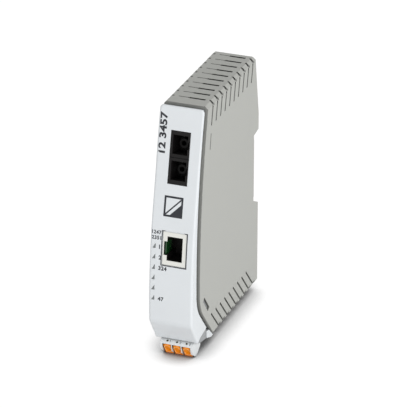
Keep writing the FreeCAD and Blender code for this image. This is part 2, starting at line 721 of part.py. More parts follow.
def spigot():
    """Thin wall behind the bezel that goes into the tub."""
    half = HALF - WALL - FIT
    top = ABOVE_RAIL - WALL - FIT
    rings = []
    for inset in (0.0, SPIGOT_WALL):
        edges = front_edges(top - inset, CHIN_END, BEZEL_WALL / 2.0)
        start = front_point(CHIN_END, BEZEL_WALL / 2.0)
        seam = seam_edges(top - inset, CHEEK_END_DEPTH, SPIGOT_REACH, SPIGOT_REACH)
        end = (SPIGOT_REACH - CHEEK_END_DEPTH, seam_slant(-CHEEK_END_DEPTH))
        edges += [line(start, end)] + seam
        edges += [line((seam_y(top - inset) + SPIGOT_REACH, top - inset),
                       front_point(top - inset, BEZEL_WALL / 2.0))]
        rings.append(across(side_face(edges), inset - half, half - inset))
    ring = rings[0].cut(rings[1].fuse(across(side_face(rings_back(top)), SPIGOT_WALL - half,
                                             half - SPIGOT_WALL)))
    low = box(-HALF, HALF, -FRONT_DEPTH, 0.0, -BELOW_RAIL - OVER, SPIGOT_BOTTOM)
    margin = 1.25 * LIGHT_TALL
    lights = box(-HALF, 0.0, -FRONT_DEPTH, 0.0, light_z(LIGHTS - 1) - margin, light_z(0) + margin)
    return ring.cut([low, lights])


def rings_back(top):
    """Cutter that opens the spigot's back."""
    back = 0.0
    corners = [front_point(CHIN_END, BEZEL_WALL), (back, CHIN_END), (back, top - SPIGOT_WALL),
               front_point(top - SPIGOT_WALL, BEZEL_WALL)]
    edges = front_edges(top - SPIGOT_WALL, CHIN_END, BEZEL_WALL)
    return edges + [line(corners[0], corners[1]), line(corners[1], corners[2]), line(corners[2], corners[3])]


def light_z(index):
    return LIGHT_TOP - index * LIGHT_PITCH


def light_wedge(index, depth, grow):
    """Right-angled window with its upright side on the right."""
    z = light_z(index)
    right = LIGHT_X + LIGHT_WIDTH / 2.0
    left = LIGHT_X - LIGHT_WIDTH / 2.0
    low = z - LIGHT_TALL / 2.0
    high = z + LIGHT_TALL / 2.0
    start = front_y(z) - OVER
    face = Part.Face(Part.makePolygon([
        FreeCAD.Vector(left, start, low), FreeCAD.Vector(right, start, low),
        FreeCAD.Vector(right, start, high), FreeCAD.Vector(left, start, low),
    ]))
    if grow > 0.0:
        face = face.makeOffset2D(grow, join=2)
    return face.extrude(FreeCAD.Vector(0, depth + OVER, 0))


PLUG_LEFT = PLUG_X - PLUG_WIDTH / 2.0
PLUG_RIGHT = PLUG_X + PLUG_WIDTH / 2.0


def foot_corners():
    """Side view of the bezel's rear foot: its top front, back, low end and the joint with the flanks."""
    top = FOOT_TOP - BELOW_RAIL
    low = FOOT_LOW - BELOW_RAIL
    top_back = slant_y(top) + SLANT_GAP - FOOT_GAP[0]
    low_back = slant_y(low) + SLANT_GAP - FOOT_GAP[1]
    floor = FLOOR_RISE - BELOW_RAIL
    return [(top_back - FOOT_THICK[0], top + FOOT_SLOPE), (top_back, top), (low_back, low),
            (low_back - FOOT_THICK[1], low), (plug_line_y(floor), floor)]


def belly():
    """Flanks beside the plug, joined under it by the bezel's rear foot."""
    foot = foot_corners()
    chin_y = front_y(CHIN_END)
    end = -CHEEK_END_DEPTH - CHEEK_END_GAP
    side = [(chin_y + CREASE, CHIN_END), (chin_y + FLANK_RUN, CHIN_END - FLANK_DROP), foot[-1], foot[0],
            (end, seam_slant(end)), (chin_y + CHEEK_RUN, CHIN_END + CHEEK_LIFT + OVER)]
    outer = HALF - CREASE
    flanks = [plate(side, -outer, PLUG_LEFT - FIT), plate(side, PLUG_RIGHT + FIT, outer)]
    return merge(flanks + [plate(foot, -HALF, HALF)])


def plug_line_y(z):
    """Depth of the plug's underside at a height."""
    corner_y = front_y(CHIN_END) + PLUG_HEIGHT * math.sin(CHIN_RAD)
    corner_z = CHIN_END - PLUG_HEIGHT * math.cos(CHIN_RAD)
    return corner_y + (z - corner_z) / math.tan(CHIN_RAD)


def snap_arm(spec):
    """Tongue of the spigot that reaches behind one of the tub's windows."""
    y, z, length, width, lean = spec
    half = length / 2.0 * math.cos(math.radians(lean)) - SNAP_END_GAP
    drift = half * math.tan(math.radians(lean))
    root = seam_y(z) + SPIGOT_REACH - 1.5 * SPIGOT_WALL
    corners = [(root, z - half), (y + width - drift, z - half), (y + width + drift, z + half),
               (root, z + half)]
    outer = HALF - WALL - FIT
    return plate(corners, outer - SPIGOT_WALL, outer)


def snap_hooks():
    """Hooks of the bezel that sit in the tub's windows."""
    y, z, length, width, lean = snap_window()
    tab = tilted_bar((y - SNAP_SINK, z, length - 2.0 * SNAP_END_GAP, width - 2.0 * SNAP_SIDE_GAP, lean),
                     HALF - WALL - FIT - SPIGOT_WALL, HALF - SNAP_SIDE_GAP)
    hooks = [tab, snap_arm(snap_window()), snap_arm(snap_slit())]
    return hooks + [mirrored(hook) for hook in hooks]


def make_bezel():
    bezel = bezel_shell()
    bezel = bezel.fuse([spigot(), belly()] + snap_hooks())
    gap = FIT
    fibre = box(FIBRE_LEFT - gap, FIBRE_RIGHT + gap, -BEZEL_WALL, FIBRE_NOSE + OVER,
                   -FIBRE_LENGTH / 2.0 - gap, FIBRE_LENGTH / 2.0 + gap)
    jack = box(jack_left() - gap, JACK_RIGHT + gap, -BEZEL_WALL, JACK_DEPTH,
                  -JACK_LENGTH / 2.0 - gap, JACK_LENGTH / 2.0 + gap)
    plug = plug_box(PLUG_LEFT - gap, PLUG_RIGHT + gap, -HEADER_BACK - PIN_FIRST, PLUG_BOW + OVER, -gap,
                    PLUG_HEIGHT + gap)
    cutters = [seat(fibre, FIBRE_HEIGHT), seat(jack, JACK_HEIGHT), plug_seat(plug)]
    cutters += [light_wedge(index, BEZEL_WALL + OVER, GUIDE_PLAY) for index in range(LIGHTS)]
    return bezel.cut(cutters).removeSplitter()


# ---- fibre transceiver -------------------------------------------------------------------------------
def jack_left():
    return BOARD_FACE + JACK_MARGIN


def fibre_middle():
    return (FIBRE_LEFT + FIBRE_RIGHT) / 2.0


def make_transceiver():
    """Duplex block: two square ports, with a bore behind each for its can."""
    half = FIBRE_LENGTH / 2.0
    shoulder = half - FIBRE_SHOULDER
    nose = box(FIBRE_LEFT, FIBRE_RIGHT, FIBRE_RECESS, FIBRE_NOSE, -half, half)
    rear = box(FIBRE_LEFT, FIBRE_RIGHT - FIBRE_STEP, FIBRE_NOSE, FIBRE_DEPTH, -shoulder, shoulder)
    feet = []
    for depth in (FIBRE_NOSE + OVER, FIBRE_DEPTH - 2.0 * PIN_ROW - FOOT_SIZE):
        for t in (-shoulder, shoulder - FOOT_SIZE):
            feet.append(box(BOARD_FACE, FIBRE_LEFT, depth, depth + FOOT_SIZE, t, t + FOOT_SIZE))
    body = merge([nose, rear] + feet)
    cutters = []
    for side in (-1, 1):
        t = side * FIBRE_PITCH / 2.0
        x = fibre_middle()
        cutters.append(box(x - CAVITY_WIDTH / 2.0, x + CAVITY_WIDTH / 2.0, -OVER, CAVITY_DEPTH,
                              t - CAVITY_HEIGHT / 2.0, t + CAVITY_HEIGHT / 2.0))
        cutters.append(box(x, x + CAVITY_WIDTH / 2.0 + KEY_DEPTH, -OVER, CAVITY_DEPTH,
                              t - KEY_WIDTH / 2.0, t + KEY_WIDTH / 2.0))
        cutters.append(cylinder(CAN_RADIUS, CAN_LENGTH, (x, CAVITY_DEPTH, t), (0, 1, 0)))
    cutters.append(box(FIBRE_LEFT - OVER, FIBRE_RIGHT + OVER, -OVER, FIBRE_RECESS + FIBRE_SPLIT,
                       -FIBRE_SPLIT / 2.0, FIBRE_SPLIT / 2.0))
    return seat(body.cut(cutters).removeSplitter(), FIBRE_HEIGHT)


def make_sleeve(side):
    """Ferrule sleeve on the floor of one cavity."""
    base = (fibre_middle(), CAVITY_DEPTH - SLEEVE_LENGTH, side * FIBRE_PITCH / 2.0)
    tube = cylinder(SLEEVE_RADIUS, SLEEVE_LENGTH, base, (0, 1, 0))
    root = (base[0], CAVITY_DEPTH - SLEEVE_COLLAR_LENGTH, base[2])
    collar = cylinder(SLEEVE_RADIUS + SLEEVE_COLLAR, SLEEVE_COLLAR_LENGTH, root, (0, 1, 0))
    bore = cylinder(SLEEVE_BORE, SLEEVE_LENGTH - SLEEVE_FLOOR, base, (0, 1, 0))
    return seat(tube.fuse(collar).cut(bore).removeSplitter(), FIBRE_HEIGHT)


def make_can(side):
    """Laser or detector can behind one sleeve."""
    base = (fibre_middle(), CAVITY_DEPTH, side * FIBRE_PITCH / 2.0)
    body = cylinder(CAN_RADIUS - CAN_LIP, CAN_LENGTH, base, (0, 1, 0))
    flange = cylinder(CAN_RADIUS, CAN_LIP_LENGTH, base, (0, 1, 0))
    return seat(body.fuse(flange).removeSplitter(), FIBRE_HEIGHT)


def make_transceiver_pins():
    """Row of signal pins under the transceiver's back, through the board."""
    return [seat(signal_pin(index, 0.0), FIBRE_HEIGHT) for index in range(SIGNAL_PINS)]


def signal_pin(index, grow):
    t = (index - (SIGNAL_PINS - 1) / 2.0) * PIN_SPACING
    start = BOARD_FACE - BOARD_THICK - PIN_TAIL
    middle = FIBRE_DEPTH - PIN_ROW
    half = SIGNAL_PIN_HALF + grow
    return box(start, FIBRE_LEFT, middle - half, middle + half, t - half, t + half)


# ---- network jack ------------------------------------------------------------------------------------
def port_cutter(depth):
    """Room for the cable's plug, with the notch for its latch."""
    main = box(PORT_LEFT, PORT_RIGHT, -OVER, depth, -PORT_LENGTH / 2.0, PORT_LENGTH / 2.0)
    latch = box(PORT_LEFT - LATCH_DEPTH, PORT_LEFT, -OVER, depth, -LATCH_LENGTH / 2.0, LATCH_LENGTH / 2.0)
    return main.fuse(latch)


def jack_step():
    """Cuts the jack's front back from the board's side."""
    half = JACK_LENGTH / 2.0 + OVER
    return box(BOARD_FACE - OVER, jack_left(), -OVER, JACK_STEP_DEPTH, -half, half)


def make_jack_shield():
    """Folded metal cover round the jack, open towards the board."""
    half = JACK_LENGTH / 2.0
    outer = box(BOARD_FACE, JACK_RIGHT, JACK_RECESS, JACK_DEPTH, -half, half)
    inner = box(BOARD_FACE - OVER, JACK_RIGHT - JACK_SHEET, JACK_RECESS + JACK_SHEET,
                JACK_DEPTH - JACK_SHEET, JACK_SHEET - half, half - JACK_SHEET)
    shield = outer.cut([inner, port_cutter(PORT_DEPTH), jack_step()])
    return seat(shield.removeSplitter(), JACK_HEIGHT)


def make_jack_insert():
    """Plastic block with the port and a comb of slots for the contacts."""
    play = JACK_SHEET + JACK_PLAY
    half = JACK_LENGTH / 2.0 - play
    body = box(BOARD_FACE, JACK_RIGHT - play, JACK_RECESS + JACK_SHEET, JACK_DEPTH - play, -half, half)
    cutters = [port_cutter(PORT_DEPTH), jack_step()]
    for index in range(CONTACTS):
        t = contact_t(index)
        cutters.append(box(PORT_RIGHT - COMB_FLOOR, PORT_RIGHT + COMB_DEPTH, COMB_START, PORT_DEPTH,
                           t - COMB_SLOT / 2.0, t + COMB_SLOT / 2.0))
    return seat(body.cut(cutters).removeSplitter(), JACK_HEIGHT)


def contact_t(index):
    return (index - (CONTACTS - 1) / 2.0) * CONTACT_PITCH


def make_jack_contacts():
    """Sprung wires that slant from the port's back into its middle."""
    contacts = []
    path = [(PORT_DEPTH - CONTACT_ROOT[0], PORT_RIGHT - CONTACT_ROOT[1]),
            (PORT_DEPTH - CONTACT_BEND[0], PORT_RIGHT - CONTACT_BEND[1]),
            (CONTACT_TIP[0], PORT_RIGHT - CONTACT_TIP[1])]
    corners = strip(path, CONTACT_WIRE)
    for index in range(CONTACTS):
        t = contact_t(index) - CONTACT_WIRE / 2.0
        loop = [FreeCAD.Vector(x, w, t) for w, x in corners]
        face = Part.Face(Part.makePolygon(loop + [loop[0]]))
        contacts.append(seat(face.extrude(FreeCAD.Vector(0, 0, CONTACT_WIRE)), JACK_HEIGHT))
    return contacts


# ---- status lights -----------------------------------------------------------------------------------
def make_light_guide():
    """Clear comb: a bar behind the front with one finger to each window."""
    top = light_z(0) + LIGHT_TALL
    bottom = light_z(LIGHTS - 1) - LIGHT_TALL
    x0 = LIGHT_X - LIGHT_WIDTH / 2.0
    x1 = LIGHT_X + LIGHT_WIDTH / 2.0
    bar = plate([front_point(top, GUIDE_BACK - GUIDE_BAR), front_point(top, GUIDE_BACK),
                 front_point(bottom, GUIDE_BACK), front_point(bottom, GUIDE_BACK - GUIDE_BAR)],
                x0 + GUIDE_STEP, x1)
    trim = across(behind_front(BEZEL_TOP, CHIN_END, GUIDE_BACKSET, 0.0), -HALF, HALF)
    pieces = [bar]
    for index in range(LIGHTS):
        z = light_z(index)
        start = front_y(z) + BEZEL_WALL + GUIDE_ROOT
        pieces.append(light_wedge(index, BEZEL_WALL + 2.0 * GUIDE_ROOT, 0.0).common(trim))
        pieces.append(box(x0 + GUIDE_STEP, x1, start, front_y(z) + GUIDE_BACK - GUIDE_ROOT,
                          z - LIGHT_TALL / 2.0, z + LIGHT_TALL / 2.0))
    for z in (light_z(0) - LIGHT_PITCH / 2.0, light_z(LIGHTS - 1) + LIGHT_PITCH / 2.0):
        back = front_y(z) + GUIDE_BACK - PEG_INSET
        pieces.append(box(x1 - GUIDE_STEP, BOARD_FACE - BOARD_THICK, back - PEG_SIZE, back,
                          z - PEG_SIZE / 2.0, z + PEG_SIZE / 2.0))
    return merge(pieces)


def make_leds():
    """Lights on the back of the board, one behind each finger of the guide."""
    face = BOARD_FACE - BOARD_THICK
    leds = []
    for index in range(LIGHTS):
        z = light_z(index)
        y = front_y(z) + GUIDE_BACK + LED_GAP
        leds.append(box(face - LED_SIZE, face, y, y + LED_SIZE, z - LED_SIZE / 2.0, z + LED_SIZE / 2.0))
    return leds


# ---- board and its components ------------------------------------------------------------------------
def make_board():
    """Board, cut back at its lower front for the header and at its top for the spigot."""
    room = across(board_face(SEAT_GAP), BOARD_FACE - BOARD_THICK, BOARD_FACE)
    behind = across(behind_front(ABOVE_RAIL, -BELOW_RAIL, BOARD_SETBACK, BACK_DEPTH),
                    BOARD_FACE - BOARD_THICK, BOARD_FACE)
    reach = 2.0 * HALF
    corner = plug_seat(plug_box(-HALF, HALF, -HEADER_BACK - SEAT_GAP, reach, -2.0 * reach, reach))
    holes = [seat(signal_pin(index, FIT / 3.0), FIBRE_HEIGHT) for index in range(SIGNAL_PINS)]
    holes += [plug_seat(pin_leg(index, FIT / 3.0)) for index in range(POLES)]
    foot = across(polygon_face(foot_corners()).makeOffset2D(SEAT_GAP + FIT, join=2), -HALF, HALF)
    low = ABOVE_RAIL - WALL - FIT - SPIGOT_WALL - SEAT_GAP
    spigot_back = seam_y(low) + SPIGOT_REACH + SEAT_GAP
    step = box(-HALF, HALF, -FRONT_DEPTH, spigot_back, low, ABOVE_RAIL)
    return room.common(behind).cut([corner, foot, step] + holes).removeSplitter()


def board_y(run):
    """Depth of a component whose place is counted from the bezel's front."""
    return run - FRONT_DEPTH


def on_board(run, z, wide, tall, thick):
    """Block standing on the board's component side."""
    y = board_y(run)
    return box(BOARD_FACE, BOARD_FACE + thick, y - wide / 2.0, y + wide / 2.0,
               z - tall / 2.0, z + tall / 2.0)


def outer_rims(shape, thick):
    """Edges of a component's face away from the board."""
    return [edge for edge in shape.Edges if abs(edge.CenterOfMass.x - BOARD_FACE - thick) < NEAR]


def chip(run, z, wide, tall, thick):
    """Package on the board with a chamfered top edge."""
    body = on_board(run, z, wide, tall, thick)
    return body.makeChamfer(CHIP_CHAMFER, outer_rims(body, thick))


def low_chip(run, rise, wide, tall, thick):
    """Package whose height is counted from the tub's bottom."""
    return chip(run, rise - BELOW_RAIL, wide, tall, thick)


def make_capacitors():
    cans = []
    for rise in CAPACITOR_RISES:
        z = rise - BELOW_RAIL
        can = cylinder(CAPACITOR_RADIUS, CAPACITOR_LENGTH, (BOARD_FACE, board_y(CAPACITOR_RUN), z), (1, 0, 0))
        can = can.makeChamfer(CAPACITOR_RIM, outer_rims(can, CAPACITOR_LENGTH))
        base = on_board(CAPACITOR_RUN, z, CAPACITOR_BASE, CAPACITOR_BASE, CAPACITOR_BASE_THICK)
        cans.append(merge([can, base]))
    return cans


def make_inductor():
    run, rise, size = INDUCTOR
    y = board_y(run)
    z = rise - BELOW_RAIL
    base = on_board(run, z, size, size, INDUCTOR_BASE)
    drum = cylinder(INDUCTOR_RADIUS, INDUCTOR_LENGTH, (BOARD_FACE, y, z), (1, 0, 0))
    foot = BOARD_FACE + INDUCTOR_LENGTH - INDUCTOR_FLANGE_THICK / 2.0
    flange = cylinder(INDUCTOR_RADIUS + INDUCTOR_FLANGE, INDUCTOR_FLANGE_THICK, (foot, y, z), (1, 0, 0))
    return merge([base, drum, flange])


# ---- power header and pins ---------------------------------------------------------------------------
def nose_half():
    return PLUG_WIDTH / 2.0 - FIT - HEADER_WALL


def make_header():
    """Shroud that the plug's nose goes into."""
    half = nose_half() + FIT + HEADER_WALL
    h0 = NOSE_STEP - FIT - HEADER_WALL
    h1 = PLUG_HEIGHT - h0
    outer = plug_box(PLUG_X - half, PLUG_X + half, -HEADER_BACK, -PLUG_BODY_BACK - SEAT_GAP, h0, h1)
    room = half - HEADER_WALL
    inner = plug_box(PLUG_X - room, PLUG_X + room, HEADER_FLOOR - HEADER_BACK, 0.0, h0 + HEADER_WALL,
                     h1 - HEADER_WALL)
    holes = [pin_run(index, FIT / 3.0, -HEADER_BACK - OVER, HEADER_FLOOR - HEADER_BACK + OVER)
             for index in range(POLES)]
    ears = plug_box(BOARD_FACE, pole_x(0) - PIN_SIZE / 2.0 - FIT, -HEADER_BACK - EAR_LENGTH, -HEADER_BACK,
                    h0 + EAR_STEP, h1 - EAR_STEP)
    return plug_seat(merge([outer, ears]).cut([inner] + holes).removeSplitter())


def pin_run(index, grow, s0, s1):
    half = PIN_SIZE / 2.0 + grow
    x = pole_x(index)
    h = PLUG_HEIGHT / 2.0
    return plug_box(x - half, x + half, s0, s1, h - half, h + half)


def make_pins():
    """Square pins, each bent towards the board behind the header."""
    pins = []
    for index in range(POLES):
        run = pin_run(index, 0.0, pin_bend(index), PIN_REACH - PLUG_NOSE_BACK)
        pins.append(plug_seat(merge([run, pin_leg(index, 0.0)])))
    return pins


def pin_bend(index):
    return -HEADER_BACK - PIN_FIRST - index * PIN_STEP


def pin_leg(index, grow):
    half = PIN_SIZE / 2.0 + grow
    middle = pin_bend(index) + PIN_SIZE / 2.0
    h = PLUG_HEIGHT / 2.0
    tail = BOARD_FACE - BOARD_THICK - PIN_LEG_TAIL
    return plug_box(tail, pole_x(index) + PIN_SIZE / 2.0, middle - half, middle + half, h - half, h + half)


# ---- plug --------------------------------------------------------------------------------------------
def plug_profile():
    """Side view of the plug's body, before it is turned to its slant."""
    back = PLUG_BODY_BACK
    corners = [(-PLUG_PROUD, 0.0), (-PLUG_BOW, -PLUG_BOW_DROP), (-PLUG_TOE, -PLUG_HEIGHT),
               (back, -PLUG_HEIGHT), (back, 0.0)]
    edges = []
    for index, bulge in enumerate(FACE_BULGE):
        a = corners[index]
        b = corners[index + 1]
        edges.append(arc(a, ((a[0] + b[0]) / 2.0 - bulge, (a[1] + b[1]) / 2.0), b))
    edges += [line(corners[2], corners[3]), line(corners[3], corners[4]), line(corners[4], corners[0])]
    return side_face(edges)


def blade_back():
    return LEVER_PROUD - LEVER_BLADE


def make_plug():
    """Plug body: side walls and nose, with a lever pocket, a clamp cage and a wire hole for each pole."""
    body = across(plug_profile(), PLUG_LEFT, PLUG_RIGHT)
    half = nose_half()
    nose = plug_box(PLUG_X - half, PLUG_X + half, -PLUG_NOSE_BACK, -PLUG_BODY_BACK + 0.5, NOSE_STEP,
                    PLUG_HEIGHT - NOSE_STEP)
    body = merge([body, nose])
    pocket = LEVER_WIDTH / 2.0 + FIT
    cutters = []
    for index in range(POLES):
        x = pole_x(index)
        cutters.append(plug_box(x - pocket, x + pocket, blade_back() - LEVER_TRAVEL - FIT, PLUG_BOW + OVER,
                                LEVER_TOP - FIT, LEVER_BOTTOM + FIT))
        cutters.append(plug_box(x - pocket, x + pocket, -LEVER_STEM - LEVER_TRAVEL - FIT, blade_back(),
                                LEVER_TOP - FIT, LEVER_STEM_DROP + FIT))
        cutters.append(plug_box(x - CAGE_HALF, x + CAGE_HALF, CAGE_WALL - PLUG_NOSE_BACK,
                                -WIRE_BACK - WIRE_HOLE / 2.0, NOSE_STEP + CAGE_WALL,
                                PLUG_HEIGHT - NOSE_STEP - CAGE_WALL))
        cutters.append(pin_run(index, FIT, -PLUG_NOSE_BACK - OVER, 2.0 * CAGE_WALL - PLUG_NOSE_BACK))
        cutters.append(cylinder(WIRE_HOLE, PLUG_HEIGHT - LEVER_STEM_DROP - FIT,
                                (x, WIRE_BACK, -PLUG_HEIGHT - OVER / 2.0), (0, 0, 1)))
        cutters.append(cylinder(TEST_HOLE, TEST_DEPTH + OVER, (x, -TEST_SETBACK, -TEST_DEPTH), (0, 0, 1)))
    return plug_seat(body.cut(cutters).removeSplitter())


def make_lever(index):
    """Release lever: a round-topped head in the plug's face, with a stem that opens the clamp."""
    x = pole_x(index)
    half = LEVER_WIDTH / 2.0
    head = plug_box(x - half, x + half, blade_back(), LEVER_PROUD, LEVER_TOP, LEVER_BOTTOM)
    rounds = [edge for edge in head.Edges
              if abs(edge.CenterOfMass.z + LEVER_TOP) < NEAR and abs(edge.CenterOfMass.x - x) > half - NEAR]
    head = head.makeFillet(LEVER_ROUND, rounds)
    rims = [edge for edge in head.Edges if abs(edge.CenterOfMass.y + LEVER_PROUD) < NEAR]
    head = head.makeChamfer(LEVER_RIM, rims)
    reach = half - LEVER_ROUND
    stem = plug_box(x - reach, x + reach, -LEVER_STEM, blade_back() + LEVER_RIM, LEVER_TOP + LEVER_RIM,
                    LEVER_STEM_DROP)
    middle = LEVER_TOP + (LEVER_BOTTOM - LEVER_TOP) * GRIP_DROP
    grip = cylinder(LEVER_GRIP, LEVER_WIDTH, (x - half, -LEVER_PROUD - GRIP_OUT, -middle), (1, 0, 0))
    return plug_seat(head.fuse(stem).cut(grip).removeSplitter())


def bar_top():
    """Depth of the contact bars' upper face, just under the pins."""
    return (PLUG_HEIGHT + PIN_SIZE) / 2.0 + BAR_PLAY


def make_clamp_springs():
    """Bent strip in each pole that presses the wire on its current bar."""
    sheet = SPRING_SHEET
    front = WIRE_BACK + WIRE_HOLE + sheet
    back = PLUG_NOSE_BACK - CLAMP_BACK
    top = NOSE_STEP + CAGE_WALL + sheet
    path = [(front, -LEVER_STEM_DROP - 1.3 * sheet), (back - 2.0 * sheet, -top), (back, -top - 2.7 * sheet),
            (back - 1.7 * sheet, -top - 6.0 * sheet), (front, 1.2 * sheet - bar_top())]
    corners = strip(path, sheet)
    return [plug_seat(plate(corners, pole_x(index) - CLAMP_HALF, pole_x(index) + CLAMP_HALF))
            for index in range(POLES)]


def make_current_bars():
    """Contact bar of each pole, between its pin and its wire."""
    front = -WIRE_BACK - WIRE_HOLE
    back = BAR_END - PLUG_NOSE_BACK
    return [plug_seat(plug_box(pole_x(index) - BAR_HALF, pole_x(index) + BAR_HALF, back, front,
                               bar_top(), bar_top() + BAR_THICK)) for index in range(POLES)]


# ---- rail latch --------------------------------------------------------------------------------------
def make_latch():
    """Rail latch: a slide with a nose for the rail, a window for its spring and a tab to pull."""
    half = LATCH_WIDTH / 2.0
    neck = half - LATCH_LIP - FIT
    face = LATCH_FACE + FIT
    back = BACK_DEPTH - LATCH_LIP_THICK - FIT
    bottom = -BELOW_RAIL - LATCH_TAB
    nose = -RAIL_HEIGHT / 2.0 + HOOK_REACH
    flange = box(-half, half, face, back, OVER - BELOW_RAIL, -RECESS)
    spine = plate([(face, bottom + TAB_CHAMFER), (face + TAB_CHAMFER, bottom),
                   (BACK_DEPTH - TAB_CHAMFER, bottom), (BACK_DEPTH, bottom + TAB_CHAMFER),
                   (BACK_DEPTH, -RECESS - FOOT_FALL), (BACK_DEPTH - FIT, nose - HOOK_BACK_CHAMFER),
                   (face + NOSE_CHAMFER[0], nose), (face, nose - NOSE_CHAMFER[1])], -neck, neck)
    window = SPRING_WIDTH / 2.0 + SEAT_GAP
    low = SPRING_TOP - SPRING_HEIGHT - SPRING_POST - SEAT_GAP
    pocket = box(-window, window, 0.0, LATCH_FACE + LATCH_THICK, low, SPRING_TOP)
    slot = box(-TAB_SLOT_HALF, TAB_SLOT_HALF, 0.0, BACK_DEPTH + OVER, bottom + TAB_SLOT,
               bottom + 2.0 * TAB_SLOT)
    return flange.fuse(spine).cut([pocket, slot]).removeSplitter()


def make_spring():
    """Strip spring folded to and fro between the tub's post and the latch."""
    half = SPRING_WIDTH / 2.0 - SPRING_SIDE_GAP
    y0 = LATCH_FACE + SPRING_BACK_GAP
    step = (SPRING_HEIGHT - SPRING_STRIP) / (2.0 * SPRING_FOLDS)
    bottom = SPRING_TOP - SPRING_HEIGHT + SPRING_STRIP / 2.0
    path = []
    for fold in range(2 * SPRING_FOLDS + 1):
        z = bottom + fold * step
        ends = (-half, half) if fold % 2 == 0 else (half, -half)
        path += [(ends[0], z), (ends[1], z)]
    corners = strip(path, SPRING_STRIP)
    loop = [FreeCAD.Vector(x, y0, z) for x, z in corners]
    return Part.Face(Part.makePolygon(loop + [loop[0]])).extrude(FreeCAD.Vector(0, SPRING_DEEP, 0))


# ---- build and export --------------------------------------------------------------------------------
def build():
    parts = {
        "housing": [make_tub()],
        "front_bezel": [make_bezel()],
        "main_board": [make_board()],
        "fibre_transceiver": [make_transceiver()],
        "fibre_sleeve_tx": [make_sleeve(1)],
        "fibre_sleeve_rx": [make_sleeve(-1)],
        "laser_can": [make_can(1)],
        "detector_can": [make_can(-1)],
        "transceiver_pins": make_transceiver_pins(),
        "jack_shield": [make_jack_shield()],
        "jack_insert": [make_jack_insert()],
        "jack_contacts": make_jack_contacts(),
        "light_guide": [make_light_guide()],
        "status_leds": make_leds(),
        "power_header": [make_header()],
        "power_pins": make_pins(),
        "power_plug": [make_plug()],
        "clamp_springs": make_clamp_springs(),
        "current_bars": make_current_bars(),
        "rail_latch": [make_latch()],
        "latch_spring": [make_spring()],
        "line_transformer": [chip(*TRANSFORMER)],
        "converter_chip": [chip(*CONVERTER)],
        "clock_crystal": [chip(*CRYSTAL)],
        "regulator_chip": [low_chip(*REGULATOR)],
        "power_inductor": [make_inductor()],
        "filter_capacitors": make_capacitors(),
        "input_fuse": [low_chip(*FUSE)],
    }
    for index in range(POLES):
        parts["release_lever_%d" % (index + 1)] = [make_lever(index)]
    return parts


def export(parts):
    os.makedirs("parts", exist_ok=True)
    for name, solids in parts.items():
        shape = Part.makeCompound(solids) if len(solids) > 1 else solids[0]
        shape.exportStep("parts/%s.step" % name)


export(build())
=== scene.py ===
import math

import bmesh
import bpy
from bpy.props import FloatProperty, FloatVectorProperty, PointerProperty
from mathutils import Matrix, Vector
from mathutils.bvhtree import BVHTree


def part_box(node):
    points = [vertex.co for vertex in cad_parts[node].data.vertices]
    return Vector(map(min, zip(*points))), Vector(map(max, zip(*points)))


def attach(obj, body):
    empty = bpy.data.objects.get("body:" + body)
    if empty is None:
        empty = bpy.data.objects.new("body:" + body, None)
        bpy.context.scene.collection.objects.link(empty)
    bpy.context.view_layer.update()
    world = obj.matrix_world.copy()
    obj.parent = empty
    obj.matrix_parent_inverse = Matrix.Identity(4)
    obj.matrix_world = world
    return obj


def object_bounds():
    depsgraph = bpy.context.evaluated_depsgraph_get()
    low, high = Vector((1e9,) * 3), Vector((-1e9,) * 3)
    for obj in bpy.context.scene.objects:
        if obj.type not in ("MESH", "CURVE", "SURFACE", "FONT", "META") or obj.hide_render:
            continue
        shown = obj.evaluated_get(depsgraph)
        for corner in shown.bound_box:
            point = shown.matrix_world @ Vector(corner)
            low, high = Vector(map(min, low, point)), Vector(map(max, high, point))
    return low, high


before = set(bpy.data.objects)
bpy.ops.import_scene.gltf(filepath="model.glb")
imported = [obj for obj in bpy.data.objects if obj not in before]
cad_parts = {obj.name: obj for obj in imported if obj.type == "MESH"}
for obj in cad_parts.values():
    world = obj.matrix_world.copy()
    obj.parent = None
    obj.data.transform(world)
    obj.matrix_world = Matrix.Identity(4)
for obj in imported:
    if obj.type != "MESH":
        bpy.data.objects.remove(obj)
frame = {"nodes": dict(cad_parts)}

bl_info = {
    "name": "Fibre Media Converter",
    "version": (1, 0, 0),
    "blender": (4, 5, 0),
    "location": "View3D > Sidebar > Converter",
    "description": "Finishes, printed marks, port details and stage of a rail-mounted fibre media converter",
    "category": "Object",
}

MM = 0.001
UPRIGHT = Matrix.Rotation(math.pi / 2.0, 4, "X")    # stands a flat shape up, to face the front
INWARD = Vector((0.0, 1.0, 0.0))                    # from the front towards the rail


# ---- the frame's places ------------------------------------------------------------------------------
def middle(node):
    """Middle of a CAD node's box."""
    low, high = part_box(node)
    return (low + high) / 2.0


def linear(red, green, blue):
    """Linear colour from red, green and blue of 0 to 255."""
    def channel(value):
        """One channel, taken out of the display's curve."""
        share = value / 255.0
        return share / 12.92 if share <= 0.04045 else ((share + 0.055) / 1.055) ** 2.4
    return (channel(red), channel(green), channel(blue))


BEZEL_LOW, BEZEL_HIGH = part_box("front_bezel")
TUB_LOW, TUB_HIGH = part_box("housing")
GUIDE_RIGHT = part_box("light_guide")[1].x
FIBRE_LEFT = 2.0 * middle("laser_can").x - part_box("fibre_transceiver")[1].x
FLOOR_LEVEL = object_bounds()[0].z
AHEAD = 10.0 * MM           # how far before the front a search starts
FRONT_DEPTH = 40.0 * MM     # how far it may go to find the front


# ---- settings ----------------------------------------------------------------------------------------
def colour(name, words, value):
    """Colour setting with its default in red, green and blue of 0 to 255."""
    return FloatVectorProperty(name=name, description=words, default=linear(*value), size=3,
                               min=0.0, max=1.0, subtype="COLOR")


def length(name, words, value):
    """Length setting with its default in metres."""
    return FloatProperty(name=name, description=words, default=value, min=0.0, unit="LENGTH",
                         precision=5)


